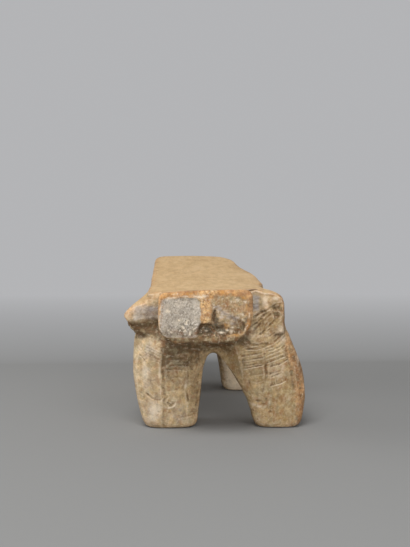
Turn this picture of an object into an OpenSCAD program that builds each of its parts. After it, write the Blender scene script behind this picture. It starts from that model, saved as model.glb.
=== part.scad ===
// Low four-legged stool carved from one log, with a tongue-shaped grip at its front end.
// X runs across the seat, Y from the grip to the rear end, Z up from the floor.
// The log has no joints. Each solid here is one form of the carving, and neighbours
// meet face to face on flat seams, so the solids together fill the one piece of wood.

/* [Seat] */
// Length of the seat slab, from the root of the grip to the rear end
seat_len = 390; // [340:5:440]
// Width of the slab between the two shoulders
seat_w = 146; // [130:1:160]
// Height of the top surface above the floor at the front
seat_h = 174; // [160:1:190]
// How much higher the top surface lies at the rear end
rear_rise = 24; // [10:1:35]
// Thickness of the slab over the front legs
front_t = 54; // [44:1:60]
// Thickness of the slab over the rear legs
rear_t = 47; // [38:1:54]
// Thickness of the rear edge
end_t = 34; // [24:1:40]
// Height of the crown across the top
crown = 3; // [0:0.5:6]
// How much lower the left edge of the top lies at the front
cross_fall = 4.5; // [0:0.5:8]
// How much lower the right edge of the top lies at the rear end
rear_fall = 3; // [0:0.5:6]
// Bulge of the right edge behind the right shoulder
side_bulge = 11; // [0:0.5:14]
// Length over which that bulge grows to its full reach
bulge_run = 12; // [8:1:30]
// Bulge of the left edge at mid length
left_edge_bulge = 1.5; // [0:0.5:6]
// How much the right edge draws in towards the rear end
rear_draw = 11; // [0:1:20]
// Rounding of the long top edges
edge_r = 7; // [3:0.5:10]
// Rounding of the long bottom edges, away from the legs
belly_r = 12; // [5:0.5:15]
// Plan radius of the rear left corner
corner_left_r = 20; // [6:1:30]
// Plan radius of the rear right corner
corner_right_r = 42; // [20:1:60]

/* [Grip] */
// How far the grip stands out in front of the seat
grip_len = 60; // [45:1:80]
// Width of the grip's end face
grip_w = 112; // [95:1:116]
// Height of the grip's end face
grip_h = 65; // [55:1:70]
// How far the grip's middle lies to the left of the seat's middle
grip_left = 2; // [0:0.5:6]
// How much the grip's top rises towards its end
grip_rise = 4; // [0:0.5:8]
// How much narrower the grip's root is than its end face
grip_waist = 5; // [0:0.5:10]
// Rounding of the grip's lower left edge
grip_left_r = 24; // [12:1:28]
// Rounding of the grip's lower right edge
grip_right_r = 34; // [16:1:38]
// Rounding of the grip's upper edges
grip_top_r = 9; // [4:1:14]
// Rounding of the rim round the end face
rim_r = 4; // [2:0.5:6]

/* [Shoulders] */
// How far the left shoulder's tip stands out from the slab's side
lug_out = 30.5; // [20:0.5:34]
// How far the left shoulder's tip lies below the top surface
lug_drop = 29; // [22:1:34]
// How far the left shoulder's front dips below the top surface beside the slab
lug_dip = 8; // [0:0.5:12]
// How far the right shoulder's tip stands out from the slab's side
knob_out = 27.5; // [18:0.5:32]
// How far the right shoulder's tip lies below the top surface
knob_drop = 21; // [14:1:28]
// How far the right shoulder still stands out at its back, where the slab carries it on
knob_back = 8; // [1:0.5:10]
// How far the shoulders stand forward of the slab's front face
shoulder_fwd = 4; // [1:0.5:8]

/* [Front legs] */
// How far the middle of the front arch lies to the right of the seat's middle
front_arch_right = 8.5; // [0:0.5:12]
// Height of the front arch above the floor
front_arch_h = 92; // [80:1:106]
// Height of the front arch's curved head
front_arch_rise = 17; // [10:1:28]
// Depth of the front legs where they meet the seat, front to back
front_root_d = 92; // [78:1:104]
// Depth of the front feet
front_foot_d = 60; // [48:1:70]
// Left leg: how far its root stands out from the slab's side
left_root_out = 17; // [8:0.5:20]
// Left leg: gap from the middle of the arch to the foot
left_foot_gap = 17.5; // [12:0.5:30]
// Left leg: width of the foot
left_foot_w = 70; // [54:1:76]
// Left leg: gap from the middle of the arch to the leg where the arch's head springs
left_spring_gap = 9; // [6:0.5:16]
// Left leg: bulge of the outer side
left_bulge = 7; // [0:0.5:10]
// Left leg: how far its foot stands back from the slab's front face
left_foot_back = 2; // [0:0.5:12]
// Right leg: how far its root stands out from the slab's side
right_root_out = 35; // [24:0.5:40]
// Right leg: gap from the middle of the arch to the foot
right_foot_gap = 53; // [44:0.5:62]
// Right leg: width of the foot
right_foot_w = 62; // [46:1:66]
// Right leg: gap from the middle of the arch to the leg where the arch's head springs
right_spring_gap = 20; // [12:0.5:26]
// Right leg: bulge of the outer side
right_bulge = 12; // [4:0.5:16]
// Right leg: bow of the inner side
right_bow = 5.5; // [0:0.5:10]

/* [Rear legs] */
// Distance from the slab's front face to the front of the rear feet
rear_foot_y = 221; // [200:1:235]
// How far the middle of the rear arch lies to the right of the seat's middle
rear_arch_right = 3.5; // [0:0.5:10]
// Height of the rear arch above the floor
rear_arch_h = 112; // [90:1:120]
// Height of the rear arch's curved head
rear_arch_rise = 26; // [12:1:34]
// Gap from the middle of the rear arch to each leg where the arch's head springs
rear_spring_gap = 17; // [10:0.5:22]
// Depth of the rear feet
rear_foot_d = 64; // [50:1:74]
// How far the rear legs widen forwards where they meet the seat
rear_flare_fwd = 14; // [6:1:20]
// How far the rear legs widen backwards where they meet the seat
rear_flare_back = 30; // [12:1:36]
// Gap from the middle of the rear arch to each rear foot
rear_foot_gap = 30; // [22:0.5:38]
// Width of the rear feet
rear_foot_w = 60; // [50:1:68]
// Bulge of the rear legs' outer sides
rear_bulge = 5; // [0:0.5:10]

/* [Feet] */
// Rounding of the edge round each foot
foot_r = 5; // [3:0.5:12]

/* [Hidden] */

// Left and right, as signs of X
LEFT = -1;
RIGHT = 1;

// Points in the parts of a section
corner_n = 4;
top_n = 10;
base_n = 5;
leg_n = 32;
nose_n = 7;

// Squareness of the legs' sections: 2 is an ellipse, more is boxier
leg_square = 3.6;
// Fullness of the shoulders' outlines: 1 is a straight slope, 2 is an ellipse
lug_full = 1.6;
knob_full = 2.2;
under_full = 1.6;
// Least edge rounding, left where a leg or a shoulder takes the edge over
seam_r = 0.6;
top_seam_r = 2;
// Flat land under the slab beyond the legs' roots
land_spare = 4;
// Rise of the underside between the front and the rear legs
belly_lift = 6;
// Shares of the right edge's length, behind the front legs: where its bulge starts to
// fade and over how much, and where it starts to draw in and over how much
bulge_end = 0.34;
bulge_fade = 0.36;
draw_start = 0.42;
draw_fade = 0.5;
// Length of the step where the slab takes over the right shoulder's reach
side_step = 0.5;
// How fast the legs' roots flare into the slab
flare_power = 4;
// How the head of an arch closes: 0.5 is round, 1 is a straight gable
arch_close = 0.55;
// Share of a shoulder's depth over which its tip keeps its full reach, and then draws in
lug_hold = 0.125;
knob_hold = 0.25;
shoulder_draw = 0.58;
// How far a leg's section would run past the middle of its arch, where it is cut flat
web_over = 12;

// Places across: the overall width runs from the left shoulder's tip to the right leg
left_reach = seat_w / 2 + lug_out;
right_foot_reach = front_arch_right + right_foot_gap + right_foot_w;
right_root_reach = seat_w / 2 + right_root_out;
right_reach = max([
    for (t = [0:0.05:1])
    leg_outer(t, right_foot_reach, right_root_reach, right_bulge)
]);
mid_x = (left_reach - right_reach) / 2;
front_arch_x = mid_x + front_arch_right;
rear_arch_x = mid_x + rear_arch_right;

// Places along: the overall length runs from the grip's end to the rear end
end_y = -(grip_len + seat_len) / 2;
front_y = end_y + grip_len;
rear_y = front_y + seat_len;

// Lands under the slab: the front one is level, the rear one follows the top
front_land_z = seat_h - front_t;
front_root_back = front_y + front_root_d;
front_land_y = front_root_back + land_spare;
rear_foot_front = front_y + rear_foot_y;
rear_root_front = rear_foot_front - rear_flare_fwd;
rear_root_back = rear_foot_front + rear_foot_d + rear_flare_back;
rear_land_y = rear_root_front - land_spare;
tail_y = rear_root_back + land_spare;
rear_land_z = top_mid(rear_land_y) - rear_t;
tail_z = top_mid(tail_y) - rear_t;
land_slope = (tail_z - rear_land_z) / (tail_y - rear_land_y);

// Height of the top surface along its middle, which rises ever faster to the rear
function along(y) = min(1, max(0, (y - front_y) / seat_len));
function top_mid(y) = seat_h + rear_rise * pow(along(y), 2.2);

// Height of the top surface anywhere: crowned across, and lower on the left at the front
// and on the right at the rear
function across(x) = (x - mid_x) / (seat_w / 2);
function top_at(x, y) =
    top_mid(y)
    + crown * (1 - pow(across(x), 2))
    + mix(cross_fall, -rear_fall, along(y)) / 2 * across(x);

function ease(v) = v <= 0 ? 0 : v >= 1 ? 1 : v * v * (3 - 2 * v);
function mix(a, b, v) = a + (b - a) * v;
function curve(p, q, slope_p, slope_q, length, v) =
    mix(p, q, ease(v))
    + slope_p * length * v * pow(1 - v, 2)
    - slope_q * length * pow(v, 2) * (1 - v);

// Height of the slab's underside: two lands, and smooth stretches between and behind
function under_at(y) =
    y <= front_land_y ? front_land_z
    : y < rear_land_y ? under_between((y - front_land_y) / (rear_land_y - front_land_y))
    : y <= tail_y ? land_at(y)
    : under_tail((y - tail_y) / (rear_y - tail_y));
function land_at(y) = rear_land_z + land_slope * (y - rear_land_y);
function under_between(v) =
    curve(front_land_z, rear_land_z, 0, land_slope, rear_land_y - front_land_y, v)
    + belly_lift * pow(sin(180 * v), 2);
function under_tail(v) =
    curve(tail_z, top_mid(rear_y) - end_t, land_slope, 0.3, rear_y - tail_y, v);

// Edges of the slab in plan
function end_draw(y, r) =
    y <= rear_y - r ? 0 : r * (1 - sqrt(1 - pow(min(0.98, (y - rear_y + r) / r), 2)));
function behind_root(y) = y - front_root_back;
function behind_land(y) = max(0, (y - front_land_y) / (rear_y - front_land_y));
function left_edge(y) =
    mid_x - seat_w / 2 - left_edge_bulge * sin(180 * behind_land(y)) + end_draw(y, corner_left_r);
function right_edge(y) =
    mid_x + seat_w / 2
    + (y <= front_root_back ? 0 : mix(knob_back, side_bulge, ease(behind_root(y) / bulge_run)))
    * (1 - fade(behind_land(y), bulge_end, bulge_end + bulge_fade))
    - rear_draw * fade(behind_land(y), draw_start, draw_start + draw_fade)
    - end_draw(y, corner_right_r);

// Roundings of the slab's long edges, which fade out at the legs and the shoulders
function fade(y, from, to) = ease((y - from) / (to - from));
function top_r(y) = mix(top_seam_r, edge_r, fade(y, front_land_y - 25, front_land_y));
function bottom_r(y) =
    y < rear_land_y
    ? mix(seam_r, belly_r, min(
        fade(y, front_land_y, front_land_y + 25), 1 - fade(y, rear_land_y - 25, rear_land_y)))
    : mix(seam_r, belly_r, fade(y, tail_y, tail_y + 25));

// Solid through a list of rings that hold the same number of points, with flat ends
module loft(rings) {
    n = len(rings[0]);
    last = len(rings) - 1;
    near_hub = n * (last + 1);
    far_hub = near_hub + 1;
    points = concat([for (ring = rings) each ring], [middle(rings[0]), middle(rings[last])]);
    walls = [
        for (i = [0:last - 1], k = [0:n - 1])
        let (a = i * n + k, b = i * n + (k + 1) % n)
        each [[a, b, b + n], [a, b + n, a + n]]
    ];
    ends = [
        for (k = [0:n - 1])
        let (next = (k + 1) % n)
        each [[near_hub, next, k], [far_hub, last * n + k, last * n + next]]
    ];
    polyhedron(points, concat(walls, ends), convexity = 6);
}
function middle(ring) = [for (p = ring) 1] * ring / len(ring);

// Quarter of a round corner, from angle a0 over 90 degrees
function corner(x, z, r, a0) = [
    for (k = [0:corner_n])
    let (a = a0 + 90 * k / corner_n)
    [x + r * cos(a), z + r * sin(a)]
];

// Section of the slab or the grip: flat base, round corners and a crowned top.
// r_left and r_right round its lower corners, and r_top both upper ones.
function section(x0, x1, z0, y, lift, r_left, r_right, r_top, end_inset = 0) =
    let (
        low = corner(x0 + r_left, z0 + r_left, r_left, 180),
        low_far = corner(x1 - r_right, z0 + r_right, r_right, 270),
        z_right = top_at(x1 - r_top, y) + lift - r_top - end_inset,
        z_left = top_at(x0 + r_top, y) + lift - r_top - end_inset,
        top = [
            for (k = [1:top_n - 1])
            let (x = mix(x1 - r_top, x0 + r_top, k / top_n))
            [x, top_at(x, y) + lift - end_inset]
        ],
        base = [for (k = [1:base_n - 1]) [mix(x0 + r_left, x1 - r_right, k / base_n), z0]],
        outline = concat(
            low, base, low_far,
            corner(x1 - r_top, z_right, r_top, 0), top,
            corner(x0 + r_top, z_left, r_top, 90))
    )
    [for (p = outline) [p[0], y, p[1]]];

// Stations along the slab, closer together where it curves most
seat_stations = concat(
    [for (k = [0:4]) mix(front_y, front_root_back, k / 4)],
    [for (k = [0:2]) front_root_back + max(side_step, bulge_run * k / 2)],
    [for (k = [1:7]) mix(front_root_back + bulge_run, rear_land_y, k / 7)],
    [for (k = [1:4]) mix(rear_land_y, tail_y, k / 4)],
    [for (k = [1:7]) mix(tail_y, rear_y, sin(90 * k / 7))]
);

module seat() {
    end_round = 7;
    color("#c4a880")
    loft([
        for (y = seat_stations)
        let (inset = end_draw(y, end_round))
        section(
            left_edge(y), right_edge(y), under_at(y) + inset, y, 0,
            bottom_r(y), bottom_r(y), top_r(y), inset)
    ]);
}

// The grip flares a little from its root on the slab's front face to its end face
module grip() {
    root_r = 4;
    grip_x = mid_x - grip_left;
    end_z = top_at(grip_x, front_y) + grip_rise - grip_h;
    root_z = front_land_z + 2;
    stations = concat([for (k = [0:5]) k / 5 * (1 - rim_r / grip_len)],
        [for (k = [1:4]) 1 - rim_r / grip_len * (1 - sin(90 * k / 4))]);
    color("#a08c74")
    loft([
        for (v = [for (k = [len(stations) - 1:-1:0]) stations[k]])
        let (
            half = (grip_w - grip_waist * (1 - v)) / 2,
            into_rim = max(0, v - 1 + rim_r / grip_len) * grip_len / rim_r,
            inset = rim_r * (1 - sqrt(1 - pow(min(0.96, into_rim), 2)))
        )
        section(
            grip_x - half + inset, grip_x + half - inset,
            mix(root_z, end_z, ease(v)) + inset,
            front_y - grip_len * v, grip_rise * v,
            mix(root_r, grip_left_r, ease(v * 2)), mix(root_r, grip_right_r, ease(v * 2)),
            mix(root_r, grip_top_r, v), inset)
    ]);
}

// Outer side of a leg at height share t, between its foot and its root
function leg_outer(t, foot_reach, root_reach, bulge) =
    mix(foot_reach, root_reach, t) + bulge * sin(180 * t);

// Gap between the middle of the arch and the inner side of a leg at height z,
// negative above the arch, where the leg runs on to its neighbour
function leg_gap(z, foot_gap, spring_gap, arch_h, arch_rise, bow) =
    let (spring_z = arch_h - arch_rise)
    z <= spring_z ? mix(foot_gap, spring_gap, z / spring_z) + bow * sin(180 * z / spring_z)
    : z < arch_h ? spring_gap * pow((arch_h - z) / arch_rise, arch_close)
    : z == arch_h ? 0
    : -web_over;

// Point of a boxy ellipse at angle a, with half widths rx and ry
function boxy(a, rx, ry, square) = [
    rx * sign(cos(a)) * pow(abs(cos(a)), 2 / square),
    ry * sign(sin(a)) * pow(abs(sin(a)), 2 / square)
];

// Leg carved from foot to root. arch is [x, height, rise, gap at the springing],
// foot is [gap from the arch's middle, width, front, back] and root is [outer x, front, back].
// Its top lies in the slab's land, so each ring is sheared as the land slopes.
module leg(side, arch, foot, root, bulge, bow, flare) {
    mid_y = (root[1] + root[2]) / 2;
    top_z = land_under(mid_y);
    arch_h = arch[1];
    spring_z = arch_h - arch[2];
    heights = concat(
        [for (k = [0:3]) foot_r * (1 - cos(90 * k / 3))],
        [for (k = [1:5]) mix(foot_r, spring_z, k / 5)],
        [for (k = [1:3]) spring_z + arch[2] * sin(90 * k / 4)],
        [arch_h, mix(arch_h, top_z, 0.5), top_z]
    );
    loft([
        for (z = heights)
        let (
            t = z / top_z,
            inset = z >= foot_r ? 0 : foot_r * (1 - sqrt(1 - pow(1 - z / foot_r, 2))),
            outer = leg_outer(t, foot[0] + foot[1], side * (root[0] - arch[0]), bulge) - inset,
            gap = leg_gap(z, foot[0], arch[3], arch_h, arch[2], bow) + inset,
            front = mix(foot[2], root[1], pow(t, flare[0])) + inset,
            back = mix(foot[3], root[2], pow(t, flare[1])) - inset
        )
        [
            for (k = [0:leg_n - 1])
            let (
                p = boxy(-360 * k / leg_n, (outer - gap) / 2, (back - front) / 2, leg_square),
                x = max(0, (outer + gap) / 2 + side * p[0]),
                y = (front + back) / 2 + p[1]
            )
            [arch[0] + side * x, y, t * land_under(y)]
        ]
    ]);
}

// Height of the land over a leg, carried on past its ends
function land_under(y) = y < (front_land_y + rear_land_y) / 2 ? front_land_z : land_at(y);

left_root_x = mid_x - seat_w / 2 - left_root_out;
right_root_x = mid_x + seat_w / 2 + right_root_out;
front_root_y = front_y - shoulder_fwd;
front_arch = [front_arch_x, front_arch_h, front_arch_rise];
rear_arch = [rear_arch_x, rear_arch_h, rear_arch_rise, rear_spring_gap];

module leg_front_left() {
    foot_front = front_y + left_foot_back;
    color("#a39378")
    leg(LEFT, concat(front_arch, left_spring_gap),
        [left_foot_gap, left_foot_w, foot_front, foot_front + front_foot_d],
        [left_root_x, front_root_y, front_root_back], left_bulge, 0, [1, flare_power]);
}

module leg_front_right() {
    color("#9b8568")
    leg(RIGHT, concat(front_arch, right_spring_gap),
        [right_foot_gap, right_foot_w, front_y, front_y + front_foot_d],
        [right_root_x, front_root_y, front_root_back], right_bulge, right_bow, [1, flare_power]);
}

module leg_rear(side, root_x) {
    leg(side, rear_arch,
        [rear_foot_gap, rear_foot_w, rear_foot_front, rear_foot_front + rear_foot_d],
        [root_x, rear_root_front, rear_root_back], rear_bulge, 0, [flare_power, 2]);
}

module leg_rear_left() {
    color("#8b785e") leg_rear(LEFT, left_edge(rear_root_front) + 2 * seam_r);
}

module leg_rear_right() {
    color("#877260") leg_rear(RIGHT, right_edge(rear_root_back) - 2 * seam_r);
}

// Outer edge of a front leg's root in plan, as a distance from the slab's side
function root_ledge(y, side, root_out) =
    let (
        mid_y = (front_root_y + front_root_back) / 2,
        v = min(1, abs(y - mid_y) / (front_root_back - mid_y)),
        half = (seat_w / 2 + root_out - side * front_arch_right + web_over) / 2
    )
    max(1, root_out - half * (1 - pow(1 - pow(v, leg_square), 1 / leg_square)));

// Quarter of a shoulder's outline over the given height, from its tip at [out, z],
// which is left out where the first step is 1
function nose(out, z, rise, full, from_out, first) = [
    for (k = [first:nose_n - 1])
    let (p = boxy(90 * k / nose_n, out - from_out, rise, full))
    [from_out + p[0], z + p[1]]
];
function reversed(list) = [for (k = [len(list) - 1:-1:0]) list[k]];

// Shoulder beside the grip: full at its front, drawn in to the slab's side at its back.
// Its foot is the top of the leg, and its flat side lies against the slab.
module shoulder(side, out, drop, dip, full, hold, root_out, back_out) {
    front_round = 6;
    side_x = mid_x + side * seat_w / 2;
    depth = front_root_back - front_root_y;
    shares = [0, 0.015, 0.05, 0.12, 0.22, 0.34, 0.46, 0.58, 0.7, 0.82, 0.92, 1];
    loft([
        for (v = shares)
        let (
            y = front_root_y + depth * v,
            into = min(1, v * depth / (2 * front_round)),
            inset = front_round * (1 - sqrt(1 - pow(1 - into, 2))),
            r = top_r(y),
            dipped = dip * (1 - ease(v / shoulder_draw)),
            seam_top = top_at(side_x - side * r, y) - r - inset * 0.6 - dipped,
            tip_out = max(back_out, out * (1 - ease((v - hold) / shoulder_draw)) - inset),
            tip_z = top_mid(y) + side * cross_fall / 2 - drop,
            foot_out = root_ledge(max(y, front_root_y + 1.5 * front_round), side, root_out),
            ring = concat(
                [[0, front_land_z], [0, seam_top]],
                reversed(nose(tip_out, tip_z, seam_top - tip_z, full, 0, 0)),
                nose(tip_out, tip_z, front_land_z - tip_z, under_full, foot_out, 1),
                [[foot_out, front_land_z]])
        )
        [for (p = side == LEFT ? ring : reversed(ring)) [side_x + side * p[0], y, p[1]]]
    ]);
}

module shoulder_left() {
    lug_back = 1.2;
    color("#988c7e")
    shoulder(LEFT, lug_out, lug_drop, lug_dip, lug_full, lug_hold, left_root_out, lug_back);
}

module shoulder_right() {
    color("#93836c")
    shoulder(RIGHT, knob_out, knob_drop, 0, knob_full, knob_hold, right_root_out, knob_back);
}

seat();
grip();
shoulder_left();
shoulder_right();
leg_front_left();
leg_front_right();
leg_rear_left();
leg_rear_right();
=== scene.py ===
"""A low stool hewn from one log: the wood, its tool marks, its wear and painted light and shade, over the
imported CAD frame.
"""

import math

import bmesh
import bpy
import numpy as np
from mathutils import Euler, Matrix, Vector


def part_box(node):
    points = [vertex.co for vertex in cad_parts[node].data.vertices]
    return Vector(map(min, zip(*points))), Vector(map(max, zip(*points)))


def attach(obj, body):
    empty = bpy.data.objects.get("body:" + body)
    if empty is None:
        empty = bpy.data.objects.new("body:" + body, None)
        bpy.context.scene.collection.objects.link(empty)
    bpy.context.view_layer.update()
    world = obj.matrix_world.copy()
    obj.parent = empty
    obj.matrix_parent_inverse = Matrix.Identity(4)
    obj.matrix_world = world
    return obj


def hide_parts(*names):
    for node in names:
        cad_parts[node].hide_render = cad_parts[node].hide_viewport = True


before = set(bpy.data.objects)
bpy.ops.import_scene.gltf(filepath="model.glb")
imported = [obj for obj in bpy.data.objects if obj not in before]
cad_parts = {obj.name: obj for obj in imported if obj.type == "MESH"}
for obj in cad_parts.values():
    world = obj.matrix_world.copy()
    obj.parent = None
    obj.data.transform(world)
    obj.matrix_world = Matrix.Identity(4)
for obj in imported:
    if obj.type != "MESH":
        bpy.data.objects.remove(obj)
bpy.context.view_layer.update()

# Lengths are millimetres in the frame of the CAD, but metres in the nodes, lamps and camera.
MM = 0.001
GRAIN = 1.2             # side of the cells that the skin of the log is rebuilt from
BLEND_PASSES = 14       # how softly one form runs into the next
CRISP_PASSES = 3        # the same at the sawn end of the grip, whose edge stays sharp
SEAM_CLEAR = 1.0        # seams are cut this far outside a face that lies in them
ROOT_CLEAR = 9.0        # and this far before and behind a leg, where its root spreads
FAR = 400.0             # reach of a cutter past the log
SKIN_SEED = 7

SLOTS = {
    "seat": "seat_wood",
    "grip": "end_grain",
    "shoulder_left": "shoulder_wood",
    "shoulder_right": "shoulder_wood",
    "leg_front_left": "leg_wood",
    "leg_front_right": "leg_wood",
    "leg_rear_left": "leg_wood",
    "leg_rear_right": "leg_wood",
}


def node_box(name):
    """Lowest and highest corners of a CAD node, in millimetres."""
    low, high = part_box(name)
    return np.array(low) / MM, np.array(high) / MM


grip_low, grip_high = node_box("grip")
seat_low = node_box("seat")[0]
lug_high = node_box("shoulder_left")[1]
knob_low = node_box("shoulder_right")[0]
front_left_low, front_left_high = node_box("leg_front_left")
rear_left_low, rear_left_high = node_box("leg_rear_left")


# Small helpers.


def ramp(value, start, end):
    """Smooth step from 0 at start to 1 at end; the two may be given either way round."""
    t = np.clip((value - start) / (end - start), 0.0, 1.0)
    return t * t * (3.0 - 2.0 * t)


def band(value, low, high, soft):
    """1 between low and high, falling to 0 over soft on each side."""
    return ramp(value, low - soft, low + soft) * ramp(value, high + soft, high - soft)


def window(x, z, across, up):
    """1 in a box on the front, given across and up, each as low, high and soft."""
    return band(x, *across) * band(z, *up)


def dome(value, middle, width):
    """A bell of height 1."""
    return np.exp(-(((value - middle) / width) ** 2))


def spot(x, z, middle_x, middle_z, wide, high):
    """A soft round spot of height 1."""
    return np.exp(-(((x - middle_x) / wide) ** 2 + ((z - middle_z) / high) ** 2))


def rows(value, pitch, shift=0.0):
    """Waves from 0 to 1, one for each pitch."""
    return 0.5 + 0.5 * np.cos(value * math.tau / pitch + shift)


def rounded_box(x, z, low, high, radius):
    """Distance to a rounded rectangle, negative inside it."""
    over_x = np.abs(x - (low[0] + high[0]) / 2.0) - (high[0] - low[0]) / 2.0 + radius
    over_z = np.abs(z - (low[1] + high[1]) / 2.0) - (high[1] - low[1]) / 2.0 + radius
    outside = np.hypot(np.maximum(over_x, 0.0), np.maximum(over_z, 0.0))
    return outside + np.minimum(np.maximum(over_x, over_z), 0.0) - radius


def to_line(x, z, points):
    """Distance to a bent line, and how far along it the nearest point is, from 0 to 1."""
    nearest = np.full(x.shape, 1e9)
    along = np.zeros(x.shape)
    spans = len(points) - 1
    for index in range(spans):
        ax, az = points[index]
        bx, bz = points[index + 1]
        length = (bx - ax) ** 2 + (bz - az) ** 2
        t = np.clip(((x - ax) * (bx - ax) + (z - az) * (bz - az)) / length, 0.0, 1.0)
        away = np.hypot(x - ax - t * (bx - ax), z - az - t * (bz - az))
        closer = away < nearest
        nearest = np.where(closer, away, nearest)
        along = np.where(closer, (index + t) / spans, along)
    return nearest, along


def scored(x, z, points, width):
    """1 along a bent line, fading over its width."""
    return dome(to_line(x, z, points)[0], 0.0, width)


CELL_TURN = np.array(Euler((0.6, 0.4, 0.9)).to_matrix())    # so that no lump lines up with a face
HASH_STEPS = (73856093, 19349663, 83492791)
HASH_SEED = 2654435761
HASH_STIR = 1274126177
HASH_TOP = 0xFFFFFF


def lattice_noise(points, size, seed):
    """Smooth noise from -1 to 1 at the points, with lumps of about the size given."""
    cells = points @ CELL_TURN / size
    base = np.floor(cells).astype(np.int64)
    t = cells - base
    t = t * t * (3.0 - 2.0 * t)
    total = np.zeros(len(points))
    for corner in range(8):
        step = np.array([corner & 1, (corner >> 1) & 1, (corner >> 2) & 1])
        key = (base + step) * HASH_STEPS
        mix = key[:, 0] ^ key[:, 1] ^ key[:, 2] ^ seed * HASH_SEED
        mix = (mix ^ (mix >> 13)) * HASH_STIR
        mix = (mix ^ (mix >> 16)) & HASH_TOP
        weight = np.prod(np.where(step, t, 1.0 - t), axis=1)
        total += weight * (mix / float(HASH_TOP) * 2.0 - 1.0)
    return total


# The skin of the log.


def link(mesh, name):
    """Put a mesh in the scene as an object at the origin."""
    piece = bpy.data.objects.new(name, mesh)
    bpy.context.scene.collection.objects.link(piece)
    return piece


def evaluated_mesh(piece):
    """The object's mesh with its modifiers applied, as new data; the object goes."""
    graph = bpy.context.evaluated_depsgraph_get()
    mesh = bpy.data.meshes.new_from_object(piece.evaluated_get(graph))
    bpy.data.objects.remove(piece)
    return mesh


def mesh_from(shape, name):
    """A bmesh as mesh data."""
    mesh = bpy.data.meshes.new(name)
    shape.to_mesh(mesh)
    shape.free()
    return mesh


def whole_log():
    """One skin round all the carver's forms, in even cells."""
    gathered = bmesh.new()
    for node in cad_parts.values():
        gathered.from_mesh(node.data)
    bmesh.ops.remove_doubles(gathered, verts=gathered.verts, dist=1e-6)
    forms = link(mesh_from(gathered, "log_forms"), "log_forms")
    remesh = forms.modifiers.new("skin", "REMESH")
    remesh.mode = "VOXEL"
    remesh.voxel_size = GRAIN * MM
    remesh.adaptivity = 0.0
    return evaluated_mesh(forms)


def read_rows(items, key, width=3, kind=np.float32):
    """One value of each item of a mesh, in rows."""
    flat = np.empty(len(items) * width, kind)
    items.foreach_get(key, flat)
    return flat.reshape(-1, width)


def get_points(mesh):
    """Vertex places in millimetres."""
    return read_rows(mesh.vertices, "co").astype(float) / MM


def set_points(mesh, points):
    """Put the vertices back, from millimetres."""
    mesh.vertices.foreach_set("co", (points * MM).astype(np.float32).ravel())
    mesh.update()


def get_normals(mesh):
    """Vertex normals, as Blender makes them."""
    return read_rows(mesh.vertex_normals, "vector").astype(float)


def edge_ends(mesh):
    """The two vertices of every edge."""
    return read_rows(mesh.edges, "vertices", 2, np.int32)


def neighbours(mesh):
    """The two ends of every edge, and how many edges each vertex has."""
    ends = edge_ends(mesh)
    count = np.bincount(ends.ravel(), minlength=len(mesh.vertices)).astype(float)
    return ends[:, 0], ends[:, 1], count


def neighbour_mean(values, web):
    """Mean of each vertex's neighbours, column by column."""
    one, other, count = web
    size = len(count)
    mean = np.empty_like(values)
    for axis in range(values.shape[1]):
        column = values[:, axis]
        total = np.bincount(one, column[other], size)
        total += np.bincount(other, column[one], size)
        mean[:, axis] = total / count
    return mean


def relaxed(points, web, passes, give=0.5):
    """Points drawn towards their neighbours' mean; give may differ from point to point."""
    for _ in range(passes):
        points = points + give * (neighbour_mean(points, web) - points)
    return points


# The carving. Each cut is read off the photograph and set down as a named place.

FRONT_LEAN = 0.065      # the legs' fronts come forward this much for each millimetre up
LEFT_FACE_Y = -162.6    # front of the left front leg at the floor
RIGHT_FACE_Y = -164.6   # front of the right front leg at the floor
LEG_TOP = 112.0         # the carving of the legs fades out here, under the seat
COVE_DEPTH = 7.5        # how far the leg is cut back under the left shoulder
END_Y = (-212.0, -219.0)    # where the sides of the grip give way to its sawn end
PITH = (10.0, 300.0)    # middle of the growth rings, across the log: it was a far thicker trunk

GROOVE_LINE = [(-66.5, 112.0), (-65.0, 92.0), (-66.2, 70.0), (-64.6, 45.0), (-65.6, 20.0), (-65.0, 4.0)]
CRACK_LINE = [(-87.5, 45.5), (-83.0, 42.0), (-77.4, 38.6), (-72.5, 37.0), (-68.2, 38.4)]
INNER_CREASE = [(-36.5, 94.0), (-34.8, 70.0), (-35.6, 50.0), (-34.6, 36.0)]
EDGE_CREASE = [(-21.5, 98.0), (-20.5, 76.0), (-22.5, 50.0), (-25.0, 20.0)]
MIDDLE_CREASE = [(60.6, 96.0), (62.2, 82.0), (63.2, 66.0), (60.0, 48.0)]
KNOT_LIP = [(-59.0, 27.4), (-55.4, 27.8), (-51.8, 30.0), (-50.6, 32.4)]
HATCH_LINE = ((69.0, 80.0, 88.5), (55.0, 58.2, 62.4))
CREASES = (CRACK_LINE, INNER_CREASE, MIDDLE_CREASE, EDGE_CREASE)

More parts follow.
